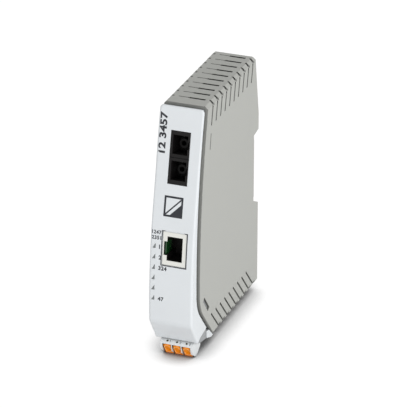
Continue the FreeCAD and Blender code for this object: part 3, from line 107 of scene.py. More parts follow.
class ConverterColours(bpy.types.PropertyGroup):
    """Colours of the plastics, the metal front of the port and the marks"""
    tub: colour("Tub", "Grey of the moulded tub", (186, 187, 182))
    bezel: colour("Bezel", "Pale plastic of the front", (232, 236, 239))
    plug: colour("Plug", "Pale plastic of the power plug", (232, 235, 236))
    connector: colour("Connectors", "Black plastic of the ports", (15, 13, 13))
    lever: colour("Levers", "Orange of the release levers", (255, 146, 0))
    latch: colour("Rail latch", "Dark plastic of the rail latch", (70, 71, 72))
    board: colour("Board", "Solder mask of the board", (24, 84, 48))
    # pale orange of the lever rims: a painted highlight on the levers' rounded faces
    rim: colour("Lever rims", "Painted highlight rim of the release levers", (255, 206, 142))
    mark: colour("Marks", "Ink of the printed marks", (30, 33, 40))
    guide: colour("Light guide", "Clear plastic of the light guide", (176, 182, 182))
    lamp: colour("Port lamp", "Green lens in the network port", (14, 60, 24))
    frame: colour("Port frame", "Plated front of the network port", (236, 236, 230))


class ConverterSizes(bpy.types.PropertyGroup):
    """Sizes of the marks and of the small pieces"""
    ink: length("Ink thickness", "Height of the printed marks above the front", 0.03 * MM)
    digit: length("Digit height", "Height of the numbers beside the lights", 2.15 * MM)
    digit_gap: length("Digit gap", "Room between a light and its number", 1.0 * MM)
    title: length("Title height", "Height of the upright row of numbers by the fibre ports", 3.7 * MM)
    title_length: length("Title length", "Length of that row", 19.6 * MM)
    outline: length("Outline width", "Line round the network port", 0.5 * MM)
    outline_gap: length("Outline gap", "Room between the port's opening and the line", 0.05 * MM)
    symbol: length("Symbol size", "Side of the square converter symbol", 9.6 * MM)
    symbol_line: length("Symbol line", "Line width of the converter symbol", 0.95 * MM)
    pole_digit: length("Pole number height", "Height of the numbers on the plug", 1.3 * MM)
    cup: length("Test cup", "Radius of the contact cup in a test hole", 0.5 * MM)
    rim_width: length("Rim width", "Width of the oval rim on a lever", 3.9 * MM)
    rim_height: length("Rim height", "Height of the oval rim on a lever", 5.2 * MM)
    rim_line: length("Rim line", "Width of the rim's line", 0.3 * MM)
    rim_step: length("Rim step", "How far the rim stands out", 0.12 * MM)
    rim_place: length("Rim place", "Middle of the rim above the lever's low end", 3.3 * MM)


class ConverterStage(bpy.types.PropertyGroup):
    """Floor, light and camera"""
    floor: length("Floor size", "Side of the square floor", 12.0)
    lens: FloatProperty(name="Lens", description="Focal length of the camera in millimetres",
                        default=289.68, min=1.0)
    azimuth: FloatProperty(name="Azimuth", description="Camera direction round the upright axis",
                           default=math.radians(20.65), subtype="ANGLE")
    elevation: FloatProperty(name="Elevation", description="Camera height above the horizon",
                             default=math.radians(24.95), subtype="ANGLE")
    roll: FloatProperty(name="Roll", description="Turn of the camera about its own axis",
                        default=math.radians(-0.13), subtype="ANGLE")
    place: FloatVectorProperty(name="Camera place", description="Where the camera stands",
                               default=(0.5131, -1.4020, 0.6731), size=3, unit="LENGTH")
    right_lamp: FloatProperty(name="Right lamp", description="Power of the softbox on the right",
                              default=12.8, min=0.0, unit="POWER")
    front_lamp: FloatProperty(name="Front lamp", description="Power of the softbox at the front left",
                              default=3.4, min=0.0, unit="POWER")
    floor_glow: FloatProperty(name="Floor glow", description="Own light of the floor, as it is seen",
                              default=0.9, min=0.0)
    sky: FloatProperty(name="Sky", description="Strength of the even light from all round",
                       default=0.55, min=0.0)


# ---- node groups -------------------------------------------------------------------------------------
def new_group(name, inputs, outputs):
    """Empty shader group with float inputs and typed outputs."""
    group = bpy.data.node_groups.new(name, "ShaderNodeTree")
    for label, value in inputs:
        socket = group.interface.new_socket(name=label, in_out="INPUT", socket_type="NodeSocketFloat")
        socket.default_value = value
    for label, kind in outputs:
        group.interface.new_socket(name=label, in_out="OUTPUT", socket_type=kind)
    return group, group.nodes.new("NodeGroupInput"), group.nodes.new("NodeGroupOutput")


def noise(tree, vector, scale, detail):
    """Noise over a place; the scale is a number or a socket."""
    node = tree.nodes.new("ShaderNodeTexNoise")
    node.inputs["Detail"].default_value = detail
    tree.links.new(vector, node.inputs["Vector"])
    if isinstance(scale, float):
        node.inputs["Scale"].default_value = scale
    else:
        tree.links.new(scale, node.inputs["Scale"])
    return node.outputs["Fac"]


def spread(tree, value, low, high, start, end):
    """Map a value from one range to another and keep it inside."""
    node = tree.nodes.new("ShaderNodeMapRange")
    tree.links.new(value, node.inputs["Value"])
    for label, number in (("From Min", low), ("From Max", high), ("To Min", start), ("To Max", end)):
        node.inputs[label].default_value = number
    return node.outputs["Result"]


def math_node(tree, kind, *values):
    """Math node on one or two sockets."""
    node = tree.nodes.new("ShaderNodeMath")
    node.operation = kind
    for index, value in enumerate(values):
        tree.links.new(value, node.inputs[index])
    return node.outputs[0]


def product(tree, first, *others):
    """Sockets multiplied with each other."""
    for other in others:
        first = math_node(tree, "MULTIPLY", first, other)
    return first


def object_place(tree):
    """Place on the piece, in the frame's own coordinates."""
    return tree.nodes.new("ShaderNodeTexCoord").outputs["Object"]


def face_normal(tree):
    """Normal of the surface before any texture turns it."""
    return tree.nodes.new("ShaderNodeNewGeometry").outputs["Normal"]


def split(tree, vector):
    """X, Y and Z of a vector."""
    node = tree.nodes.new("ShaderNodeSeparateXYZ")
    tree.links.new(vector, node.inputs[0])
    return node.outputs


def moulded_grain():
    """Fine eroded-mould texture, and a slow drift of tone."""
    group, given, made = new_group(
        "moulded_grain", [("Grain per metre", 3000.0), ("Drift per metre", 60.0)],
        [("Height", "NodeSocketFloat"), ("Drift", "NodeSocketFloat")])
    place = object_place(group)
    fine = noise(group, place, given.outputs["Grain per metre"], 3.0)
    slow = noise(group, place, given.outputs["Drift per metre"], 2.0)
    for value, label in ((fine, "Height"), (slow, "Drift")):
        # the noise hardly leaves 0.3 to 0.7, which is spread over the whole range
        group.links.new(spread(group, value, 0.3, 0.7, 0.0, 1.0), made.inputs[label])
    return group


def soft_edges():
    """Rounds sharp edges in the shading, and marks them for a little wear and a painted highlight."""
    group, given, made = new_group(
        "soft_edges", [("Radius", 0.2 * MM)],
        [("Normal", "NodeSocketVector"), ("Edge", "NodeSocketFloat")])
    bevel = group.nodes.new("ShaderNodeBevel")
    bevel.samples = 6
    group.links.new(given.outputs["Radius"], bevel.inputs["Radius"])
    likeness = group.nodes.new("ShaderNodeVectorMath")
    likeness.operation = "DOT_PRODUCT"
    group.links.new(bevel.outputs["Normal"], likeness.inputs[0])
    group.links.new(face_normal(group), likeness.inputs[1])
    # 1 is a flat face; the more the rounded normal leans from it, the nearer the edge
    edge = spread(group, likeness.outputs["Value"], 0.99, 0.75, 0.0, 1.0)
    group.links.new(bevel.outputs["Normal"], made.inputs["Normal"])
    group.links.new(edge, made.inputs["Edge"])
    return group


def crevices():
    """Painted shade where surfaces close in on each other: a soft dark tone from an occlusion probe."""
    group, given, made = new_group("crevices", [("Reach", 2.0 * MM)], [("Open", "NodeSocketFloat")])
    probe = group.nodes.new("ShaderNodeAmbientOcclusion")
    probe.samples = 8
    group.links.new(given.outputs["Reach"], probe.inputs["Distance"])
    group.links.new(spread(group, probe.outputs["AO"], 0.3, 0.85, 0.0, 1.0), made.inputs["Open"])
    return group


def set_back():
    """Masks the faces that look sideways and lie behind the front, inside the outer walls, to carry painted
    shade.
    """
    group, given, made = new_group(
        "set_back", [("Half width", 0.01), ("Behind", 0.0)], [("Mask", "NodeSocketFloat")])
    place, face = split(group, object_place(group)), split(group, face_normal(group))
    across = math_node(group, "ABSOLUTE", place["X"])
    inside = math_node(group, "SUBTRACT", given.outputs["Half width"], across)
    behind = math_node(group, "SUBTRACT", place["Y"], given.outputs["Behind"])
    sideways = spread(group, math_node(group, "ABSOLUTE", face["X"]), 0.88, 0.98, 0.0, 1.0)
    narrow = spread(group, inside, 0.2 * MM, 0.4 * MM, 0.0, 1.0)
    deep = spread(group, behind, 0.0, 0.6 * MM, 0.0, 1.0)
    group.links.new(product(group, sideways, narrow, deep), made.inputs["Mask"])
    return group


def front_rim():
    """Masks the rounded rim of a side wall that turns towards the front, to carry painted shade."""
    group, given, made = new_group("front_rim", [("From", 0.01)], [("Mask", "NodeSocketFloat")])
    place, face = split(group, object_place(group)), split(group, face_normal(group))
    across = math_node(group, "ABSOLUTE", place["X"])
    outer = spread(group, math_node(group, "SUBTRACT", across, given.outputs["From"]),
                   0.0, 0.2 * MM, 0.0, 1.0)
    turned = spread(group, face["Y"], -0.12, -0.4, 0.0, 1.0)
    group.links.new(product(group, outer, turned), made.inputs["Mask"])
    return group


def upper_walls():
    """Masks walls that look along the part just under its top, between two depths, to carry painted shade.
    """
    group, given, made = new_group(
        "upper_walls", [("Top", 0.05), ("Left", 0.0), ("Front", 0.0), ("Back", 0.0)],
        [("Mask", "NodeSocketFloat")])
    place, face = split(group, object_place(group)), split(group, face_normal(group))
    depth = math_node(group, "SUBTRACT", given.outputs["Top"], place["Z"])
    right = math_node(group, "SUBTRACT", place["X"], given.outputs["Left"])
    behind = math_node(group, "SUBTRACT", place["Y"], given.outputs["Front"])
    before = math_node(group, "SUBTRACT", given.outputs["Back"], place["Y"])
    lengthwise = spread(group, math_node(group, "ABSOLUTE", face["Y"]), 0.9, 0.97, 0.0, 1.0)
    near_top = spread(group, depth, 3.0 * MM, 3.5 * MM, 1.0, 0.0)
    bounds = [spread(group, distance, 0.05 * MM, 0.2 * MM, 0.0, 1.0)
              for distance in (depth, right, behind, before)]
    group.links.new(product(group, lengthwise, near_top, *bounds), made.inputs["Mask"])
    return group


def settled_dust():
    """A thin veil on faces that look up."""
    group, given, made = new_group("settled_dust", [("Amount", 0.1)], [("Veil", "NodeSocketFloat")])
    up = spread(group, split(group, face_normal(group))["Z"], 0.5, 1.0, 0.0, 1.0)
    patchy = spread(group, noise(group, object_place(group), 220.0, 4.0), 0.35, 0.75, 0.2, 1.0)
    group.links.new(product(group, up, patchy, given.outputs["Amount"]), made.inputs["Veil"])
    return group


EFFECTS = {"grain": moulded_grain, "edges": soft_edges, "crevices": crevices, "dust": settled_dust,
           "set_back": set_back, "upper_walls": upper_walls, "front_rim": front_rim}
GROUPS = {}     # the shared effects that are made so far, by name


def effect(tree, name, **values):
    """Place one of the shared effects in a material; each group is made once."""
    if name not in GROUPS:
        GROUPS[name] = EFFECTS[name]()
    node = tree.nodes.new("ShaderNodeGroup")
    node.node_tree = GROUPS[name]
    for label, value in values.items():
        node.inputs[label.replace("_", " ")].default_value = value
    return node


def mixed(tree, share, first, second):
    """Mix two colours, each a socket or a linear colour."""
    node = tree.nodes.new("ShaderNodeMix")
    node.data_type = "RGBA"
    tree.links.new(share, node.inputs[0])
    for socket, value in ((node.inputs[6], first), (node.inputs[7], second)):
        if isinstance(value, bpy.types.NodeSocket):
            tree.links.new(value, socket)
        else:
            socket.default_value = (*value, 1.0)
    return node.outputs[2]


# ---- finishes ----------------------------------------------------------------------------------------
TOP_LEVEL = 0.01 * MM         # how far under the tub's top a point still counts as top
FRONT_STRIP = 4.0 * MM        # depth of the closed strip before the first top slot
REAR_MARGIN = 0.5 * MM        # room between the last top slot and the end of the top
SLOT_LEFT = -2.0 * MM         # the shaded walls of the top slots lie to the right of this
RIM_WIDTH = 2.0 * MM          # width of the tub's rounded front rim
SPIGOT_START = 4.8 * MM       # the sides of the bezel's spigot begin this far behind its front
# what is left of the paint's tone where shade is painted on four places
SPIGOT_TONE, RIM_TONE, SLOT_TONE, STRIP_TONE = 0.22, 0.4, 0.08, 0.42
COPPER_TONE = 1.7             # the copper runs under the solder mask, against the mask alone
DUST = linear(170, 168, 160)
ROUGH_DRIFT = 0.04            # how much the roughness drifts to each side
RELIEF_HEIGHT = 0.05 * MM     # height of the grain


def top_span():
    """Where the tub's flat top begins and ends, from front to back."""
    mesh = frame["nodes"]["housing"].data
    depths = [vert.co.y for vert in mesh.vertices if vert.co.z > TUB_HIGH.z - TOP_LEVEL]
    return min(depths), max(depths)


def toned(value, factor):
    """A colour made lighter or darker."""
    return tuple(min(1.0, channel * factor) for channel in value)


def shade_slots(tree, tone, paint):
    """Paint shade on the tub's front rim, on the walls of its top slots and on the strip before them."""
    # painted shade on the rim that turns towards the bezel's gap
    rim = effect(tree, "front_rim", From=TUB_HIGH.x - RIM_WIDTH)
    tone = mixed(tree, rim.outputs["Mask"], tone, toned(paint, RIM_TONE))
    start, end = top_span()
    start += FRONT_STRIP
    # painted shade: deep on the top slots' walls, lighter on the walls in the strip before them by the
    # bezel's gap
    for left, front, back, share in ((SLOT_LEFT, start, end - REAR_MARGIN, SLOT_TONE),
                                     (TUB_LOW.x, TUB_LOW.y, start, STRIP_TONE)):
        walls = effect(tree, "upper_walls", Top=TUB_HIGH.z, Left=left, Front=front, Back=back)
        tone = mixed(tree, walls.outputs["Mask"], tone, toned(paint, share))
    return tone


def surface(name, paint, rough, grain=3000.0, bump=0.12, drift=0.04, edge=1.06, radius=0.2, veil=0.0,
            metal=0.0, coat=0.0, transmission=0.0, specular=0.5, shade=0.0, reach=2.0, behind=None,
            slots=False):
    """Procedural finish: drifting tone, moulded grain, softened edges lightened by wear and a painted
    highlight, painted shade in crevices, on set-back faces and in the top slots, and dust.

    grain is per metre, radius and reach are in millimetres, behind is a depth in metres.
    """
    material = bpy.data.materials.new(name)
    material.use_nodes = True
    tree = material.node_tree
    shader = tree.nodes["Principled BSDF"]
    texture = effect(tree, "grain", Grain_per_metre=grain)
    edges = effect(tree, "edges", Radius=radius * MM)
    tone = mixed(tree, texture.outputs["Drift"], toned(paint, 1.0 - drift), toned(paint, 1.0 + drift))
    # lighter edges: partly a little wear, partly a painted highlight on the rounded edges
    tone = mixed(tree, edges.outputs["Edge"], tone, toned(paint, edge))
    # painted shade in crevices: darker where the occlusion probe finds surfaces close by
    if shade:
        gaps = effect(tree, "crevices", Reach=reach * MM)
        tone = mixed(tree, gaps.outputs["Open"], toned(paint, 1.0 - shade), tone)
    # painted shade on the sideways faces of the bezel's spigot, in the gap behind its cheeks
    if behind is not None:
        band = effect(tree, "set_back", Half_width=BEZEL_HIGH.x, Behind=behind)
        tone = mixed(tree, band.outputs["Mask"], tone, toned(paint, SPIGOT_TONE))
    # painted shade on the tub's front rim, on its top slots' walls and on the strip before them
    if slots:
        tone = shade_slots(tree, tone, paint)
    if veil:
        dust = effect(tree, "dust", Amount=veil)
        tone = mixed(tree, dust.outputs["Veil"], tone, DUST)
    tree.links.new(tone, shader.inputs["Base Color"])
    roughness = spread(tree, texture.outputs["Drift"], 0.0, 1.0, rough - ROUGH_DRIFT,
                       rough + ROUGH_DRIFT)
    tree.links.new(roughness, shader.inputs["Roughness"])
    relief = tree.nodes.new("ShaderNodeBump")
    relief.inputs["Strength"].default_value = bump
    relief.inputs["Distance"].default_value = RELIEF_HEIGHT
    tree.links.new(texture.outputs["Height"], relief.inputs["Height"])
    tree.links.new(edges.outputs["Normal"], relief.inputs["Normal"])
    tree.links.new(relief.outputs["Normal"], shader.inputs["Normal"])
    shader.inputs["Metallic"].default_value = metal
    shader.inputs["Coat Weight"].default_value = coat
    shader.inputs["Transmission Weight"].default_value = transmission
    shader.inputs["Specular IOR Level"].default_value = specular
    return material


def board_finish(paint):
    """Solder mask with copper runs and pads under it."""
    material = surface("board_mask", paint, 0.35, grain=1200.0, bump=0.05)
    tree = material.node_tree
    shader = tree.nodes["Principled BSDF"]
    bricks = tree.nodes.new("ShaderNodeTexBrick")
    bricks.offset = 0.37
    bricks.inputs["Scale"].default_value = 260.0
    bricks.inputs["Mortar Size"].default_value = 0.06
    turn = tree.nodes.new("ShaderNodeMapping")
    turn.inputs["Rotation"].default_value = (0.0, math.pi / 2.0, 0.0)
    tree.links.new(object_place(tree), turn.inputs["Vector"])
    tree.links.new(turn.outputs["Vector"], bricks.inputs["Vector"])
    runs = mixed(tree, bricks.outputs["Fac"], paint, toned(paint, COPPER_TONE))
    tree.links.new(runs, shader.inputs["Base Color"])
    return material


def make_finishes(colours):
    """Every finish of the converter, by name."""
    return {
        "tub": surface("tub_grey", colours.tub, 0.55, grain=2600.0, bump=0.25, drift=0.015, edge=1.05,
                       radius=0.25, veil=0.06, specular=0.35, shade=0.6, reach=2.0, slots=True),
        # the bezel's strong edge lightening is mostly a painted highlight on its rounded edges
        "bezel": surface("bezel_pale", colours.bezel, 0.4, grain=5200.0, bump=0.06, drift=0.012,
                         edge=1.16, radius=0.35, specular=0.45, shade=0.55, reach=2.0,
                         behind=BEZEL_LOW.y + SPIGOT_START),
        "plug": surface("plug_pale", colours.plug, 0.42, grain=4800.0, bump=0.06, drift=0.015,
                        edge=1.05, radius=0.15, shade=0.9, reach=3.0),
        "lever": surface("lever_orange", colours.lever, 0.38, grain=4200.0, bump=0.08, drift=0.05,
                         edge=1.1, radius=0.15, specular=0.2),
        "connector": surface("connector_black", colours.connector, 0.45, grain=3600.0, bump=0.12,
                             drift=0.1, edge=1.8, radius=0.12, specular=0.25),
        "latch": surface("latch_dark", colours.latch, 0.5, grain=2600.0, bump=0.2, drift=0.05,
                         edge=1.4, radius=0.2),
        "board": board_finish(colours.board),
        "guide": surface("guide_clear", colours.guide, 0.18, grain=1500.0, bump=0.02, drift=0.03,
                         transmission=0.55, radius=0.08),
        "led": surface("led_lens", linear(232, 232, 222), 0.3, grain=2000.0, bump=0.02),
        "sleeve": surface("sleeve_dark", colours.connector, 0.4, grain=1500.0, bump=0.04, drift=0.1,
                          edge=1.6, radius=0.1, specular=0.15),
        # pale rim colour: a painted highlight on each lever
        "lever_rim": surface("lever_rim", colours.rim, 0.35, grain=4200.0, bump=0.05, drift=0.04,
                             radius=0.05),
        "contact": surface("test_contact", linear(74, 72, 40), 0.35, grain=900.0, bump=0.05,
                           metal=0.6, drift=0.08, radius=0.05),
        "pole_ink": surface("pole_ink", linear(120, 124, 128), 0.5, grain=5200.0, bump=0.04,
                            edge=1.0, radius=0.02),
        "port_frame": surface("port_frame", colours.frame, 0.38, grain=2200.0, bump=0.04, drift=0.03,
                              metal=0.15, radius=0.08),
        "steel": surface("spring_steel", linear(196, 197, 196), 0.28, grain=900.0, bump=0.06,
                         metal=1.0, drift=0.06),
        "tin": surface("pin_tin", linear(206, 205, 200), 0.24, grain=900.0, bump=0.04, metal=1.0),
        "gold": surface("pin_gold", linear(222, 180, 92), 0.24, grain=900.0, bump=0.04, metal=1.0),
        "chip": surface("chip_black", linear(38, 38, 40), 0.55, grain=5200.0, bump=0.2, drift=0.1),
        "ferrite": surface("ferrite_dark", linear(66, 66, 70), 0.7, grain=2600.0, bump=0.4, drift=0.1),
        "fuse": surface("fuse_pale", linear(214, 208, 186), 0.45, grain=2600.0, bump=0.1),
        "mark": surface("mark_ink", colours.mark, 0.5, grain=5200.0, bump=0.05, drift=0.05, edge=1.0,
                        radius=0.02),
        "lamp": surface("port_lamp", colours.lamp, 0.2, grain=2000.0, bump=0.02, coat=0.3,
                        radius=0.1),
    }


NODE_FINISH = {
    "housing": "tub", "front_bezel": "bezel", "main_board": "board", "fibre_transceiver": "connector",
    "fibre_sleeve_tx": "sleeve", "fibre_sleeve_rx": "sleeve", "laser_can": "steel",
    "detector_can": "steel", "transceiver_pins": "gold", "jack_shield": "port_frame",
    "jack_insert": "connector", "jack_contacts": "gold", "light_guide": "guide", "status_leds": "led",
    "power_header": "connector", "power_pins": "tin", "power_plug": "plug", "clamp_springs": "steel",
    "current_bars": "tin", "release_lever_1": "lever", "release_lever_2": "lever",
    "release_lever_3": "lever", "rail_latch": "latch", "latch_spring": "steel",
    "line_transformer": "chip", "converter_chip": "chip", "clock_crystal": "tin",
    "regulator_chip": "chip", "power_inductor": "ferrite", "filter_capacitors": "tin",
    "input_fuse": "fuse",
}
FINISHES = {}       # filled by the operator that makes the finishes


# ---- making pieces -----------------------------------------------------------------------------------
SUNK = 1.5                  # a mark's thickness against how far it stands out: its back is sunk
FINE = 0.05 * MM            # step of the searches for edges
SAME_PLACE = 0.0005 * MM    # points nearer than this are one
SAME_LIGHT = 0.5 * MM       # heights nearer than this belong to one edge of a light
SHARP = math.radians(30.0)  # edges that turn more than this stay sharp


def add_piece(name, shape, finish, body="casing"):
    """Turn a bmesh that is already in place into a piece of the converter."""
    bmesh.ops.remove_doubles(shape, verts=shape.verts[:], dist=SAME_PLACE)
    bmesh.ops.recalc_face_normals(shape, faces=shape.faces[:])
    mesh = bpy.data.meshes.new(name)
    shape.to_mesh(mesh)
    shape.free()
    piece = bpy.data.objects.new(name, mesh)
    bpy.context.scene.collection.objects.link(piece)
    mesh.materials.append(FINISHES[finish])
    mesh.shade_smooth()
    mesh.set_sharp_from_angle(angle=SHARP)
    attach(piece, body)
    return piece


def node_tree(name):
    """Search tree of a CAD node's surface."""
    mesh = frame["nodes"][name].data
    return BVHTree.FromPolygons([v.co for v in mesh.vertices], [p.vertices[:] for p in mesh.polygons])


def met(tree, x, z, *reach):
    """Place and normal where a line from the front first meets a surface, or two times None."""
    return tree.ray_cast(Vector((x, BEZEL_LOW.y - AHEAD, z)), INWARD, *reach)[:2]


def seen_from_front(tree, x, z):
    """First point of a surface, met from the front."""
    place = met(tree, x, z)[0]
    if place is None:
        raise RuntimeError("nothing lies behind a mark")
    return place


def thicken(shape, depth):
    """Give flat faces a thickness towards the rail."""
    kept = bmesh.ops.extrude_face_region(shape, geom=shape.faces[:], use_keep_orig=True)
    moved = [item for item in kept["geom"] if isinstance(item, bmesh.types.BMVert)]
    bmesh.ops.translate(shape, verts=moved, vec=(0.0, depth, 0.0))


def lay_on(shape, node, ink):
    """Move a flat mark, drawn in X and Z, back on to a node and give it its thickness."""
    tree = node_tree(node)
    for vert in shape.verts:
        vert.co.y = seen_from_front(tree, vert.co.x, vert.co.z).y - ink
    bmesh.ops.recalc_face_normals(shape, faces=shape.faces[:])
    thicken(shape, SUNK * ink)
    return shape


def print_mark(name, shape, ink):
    """Print a flat mark on the front."""
    return add_piece(name, lay_on(shape, "front_bezel", ink), "mark")


def upright_grid(x0, x1, z0, z1, across, up):
    """Flat grid in X and Z between the corners given."""
    shape = bmesh.new()
    centre = Vector(((x0 + x1) / 2.0, 0.0, (z0 + z1) / 2.0))
    place = Matrix.Translation(centre) @ UPRIGHT @ Matrix.Diagonal((x1 - x0, z1 - z0, 1.0, 1.0))
    bmesh.ops.create_grid(shape, x_segments=across, y_segments=up, size=0.5, matrix=place)
    return shape


def upright_ring(x0, x1, z0, z1, line):
    """Rectangular line of a given width in X and Z, inside the corners given."""
    shape = upright_grid(x0, x1, z0, z1, 6, 12)
    faces = shape.faces[:]
    bmesh.ops.inset_region(shape, faces=faces, thickness=line, use_boundary=True,
                           use_even_offset=True)
    bmesh.ops.delete(shape, geom=[face for face in faces if face.is_valid], context="FACES")
    return shape


def extent(shape):
    """Lowest and highest corner of a bmesh."""
    places = [vert.co for vert in shape.verts]
    return (Vector(min(place[i] for place in places) for i in range(3)),
            Vector(max(place[i] for place in places) for i in range(3)))


def text_shape(words, height, x, z, spacing=1.0, bold=0.0):
    """Flat numbers in X and Z: their left edge at x and their middle at z."""
    curve = bpy.data.curves.new("numbers", "FONT")
    curve.body = words
    curve.size = 1.0
    curve.space_character = spacing
    curve.offset = bold
    holder = bpy.data.objects.new("numbers", curve)
    mesh = bpy.data.meshes.new_from_object(holder)
    shape = bmesh.new()
    shape.from_mesh(mesh)
    bpy.data.objects.remove(holder)
    bpy.data.curves.remove(curve)
    bpy.data.meshes.remove(mesh)
    bmesh.ops.rotate(shape, verts=shape.verts[:], cent=(0.0, 0.0, 0.0), matrix=UPRIGHT.to_3x3())
    low, high = extent(shape)
    share = height / (high.z - low.z)
    bmesh.ops.scale(shape, verts=shape.verts[:], vec=(share, share, share))
    low, high = extent(shape)
    bmesh.ops.translate(shape, verts=shape.verts[:], vec=(x - low.x, 0.0, z - (low.z + high.z) / 2.0))
    return shape


def opening(x, z):
    """Left, right, low and high edge of the bezel's opening round a point."""
    tree = node_tree("front_bezel")
    edges = []
    for across, up in ((-1, 0), (1, 0), (0, -1), (0, 1)):
        reach = 0.0
        edge = None
        while edge is None and reach < FRONT_DEPTH:
            reach += FINE
            edge = met(tree, x + across * reach, z + up * reach, FRONT_DEPTH)[0]
        if edge is None:
            raise RuntimeError("no opening found in the front")
        edges.append(x * abs(across) + z * abs(up) + (across + up) * reach)
    return edges


def light_heights():
    """Middle height of each status light, from the top."""
    mesh = frame["nodes"]["status_leds"].data
    heights = sorted(vert.co.z for vert in mesh.vertices)
    levels = []
    for height in heights:
        if not levels or height - levels[-1] > SAME_LIGHT:
            levels.append(height)
    return [(levels[i] + levels[i + 1]) / 2.0 for i in range(0, len(levels), 2)][::-1]


def face_axes(node, x, low, high):
    """Axes of a leaning face, read between two heights: X right, Y into it, Z up along it."""
    tree = node_tree(node)
    lower = seen_from_front(tree, x, low)
    upper = seen_from_front(tree, x, high)
    up = (upper - lower).normalized()
    right = Vector((1.0, 0.0, 0.0))
    axes = Matrix((right, up.cross(right), up)).transposed().to_4x4()
    return Matrix.Translation((upper + lower) / 2.0) @ axes


def block(low, high, bevel):
    """Box between two corners with rounded edges."""
    shape = bmesh.new()
    size = Vector(high) - Vector(low)
    place = Matrix.Translation((Vector(high) + Vector(low)) / 2.0) @ Matrix.Diagonal((*size, 1.0))
    bmesh.ops.create_cube(shape, size=1.0, matrix=place)
    bmesh.ops.bevel(shape, geom=shape.edges[:], offset=bevel, segments=2, profile=0.5, affect="EDGES",
                    material=-1)
    return shape


# ---- operators ---------------------------------------------------------------------------------------
class CONVERTER_OT_finishes(bpy.types.Operator):
    """Make every finish and give each CAD node its own"""
    bl_idname = "converter.finishes"
    bl_label = "Finishes"

    def execute(self, context):
        FINISHES.update(make_finishes(context.scene.converter_colours))
        for name, node in frame["nodes"].items():
            finish = FINISHES[NODE_FINISH[name]]
            if node.material_slots:
                node.material_slots[0].material = finish
            else:
                node.data.materials.append(finish)
        return {"FINISHED"}


class CONVERTER_OT_light_numbers(bpy.types.Operator):
    """Print plain numbers beside the status lights"""
    bl_idname = "converter.light_numbers"
    bl_label = "Light numbers"

    LABELS = ("1", "2", "324", "", "", "47")    # from the top light down
    SPACING, BOLD = 1.06, 0.035
    DROP = 0.3 * MM                             # how far a number's middle lies under its light's
    HEADINGS = ("1247", "2351")                 # two rows over the top light
    HEADING_SPACING, HEADING_BOLD = 1.08, 0.032
    HEADING_SHARE = 0.88                        # height of a heading, as a share of a number's
    HEADING_MARGIN = 0.75 * MM                  # room to the front's left edge
    FIRST_ROW, ROW_STEP = 1.27, 0.5             # rise and fall, in steps from light to light

    def execute(self, context):
        sizes = context.scene.converter_sizes
        left = GUIDE_RIGHT + sizes.digit_gap
        heights = light_heights()
        for index, (label, height) in enumerate(zip(self.LABELS, heights), 1):
            if label:
                shape = text_shape(label, sizes.digit, left, height - self.DROP, self.SPACING,
                                   self.BOLD)
                print_mark("light_number_%d" % index, shape, sizes.ink)
        left = BEZEL_LOW.x + self.HEADING_MARGIN
        step = heights[0] - heights[1]
        for row, label in enumerate(self.HEADINGS):
            height = heights[0] + step * (self.FIRST_ROW - self.ROW_STEP * row)
            shape = text_shape(label, self.HEADING_SHARE * sizes.digit, left, height,
                               self.HEADING_SPACING, self.HEADING_BOLD)
            print_mark("light_heading_%d" % (row + 1), shape, sizes.ink)
        return {"FINISHED"}


class CONVERTER_OT_title_number(bpy.types.Operator):
    """Print an upright row of plain numbers beside the fibre ports"""
    bl_idname = "converter.title_number"
    bl_label = "Title number"

    WORDS = "12 3457"
    BOLD = 0.035
    RISE = 16.8 * MM        # top of the row above the middle of the upper fibre sleeve
    ROOM = 2.35 * MM        # between the row and the fibre block

    def execute(self, context):
        sizes = context.scene.converter_sizes
        shape = text_shape(self.WORDS, sizes.title, 0.0, 0.0, bold=self.BOLD)
        bmesh.ops.rotate(shape, verts=shape.verts[:], cent=(0.0, 0.0, 0.0),
                         matrix=Matrix.Rotation(-math.pi / 2.0, 3, "Y"))
        low, high = extent(shape)
        stretch = sizes.title_length / (high.z - low.z)
        bmesh.ops.scale(shape, verts=shape.verts[:], vec=(1.0, 1.0, stretch))
        low, high = extent(shape)
        top = middle("fibre_sleeve_tx").z + self.RISE
        right = FIBRE_LEFT - self.ROOM
        bmesh.ops.translate(shape, verts=shape.verts[:], vec=(right - high.x, 0.0, top - high.z))
        print_mark("title_number", shape, sizes.ink)
        return {"FINISHED"}


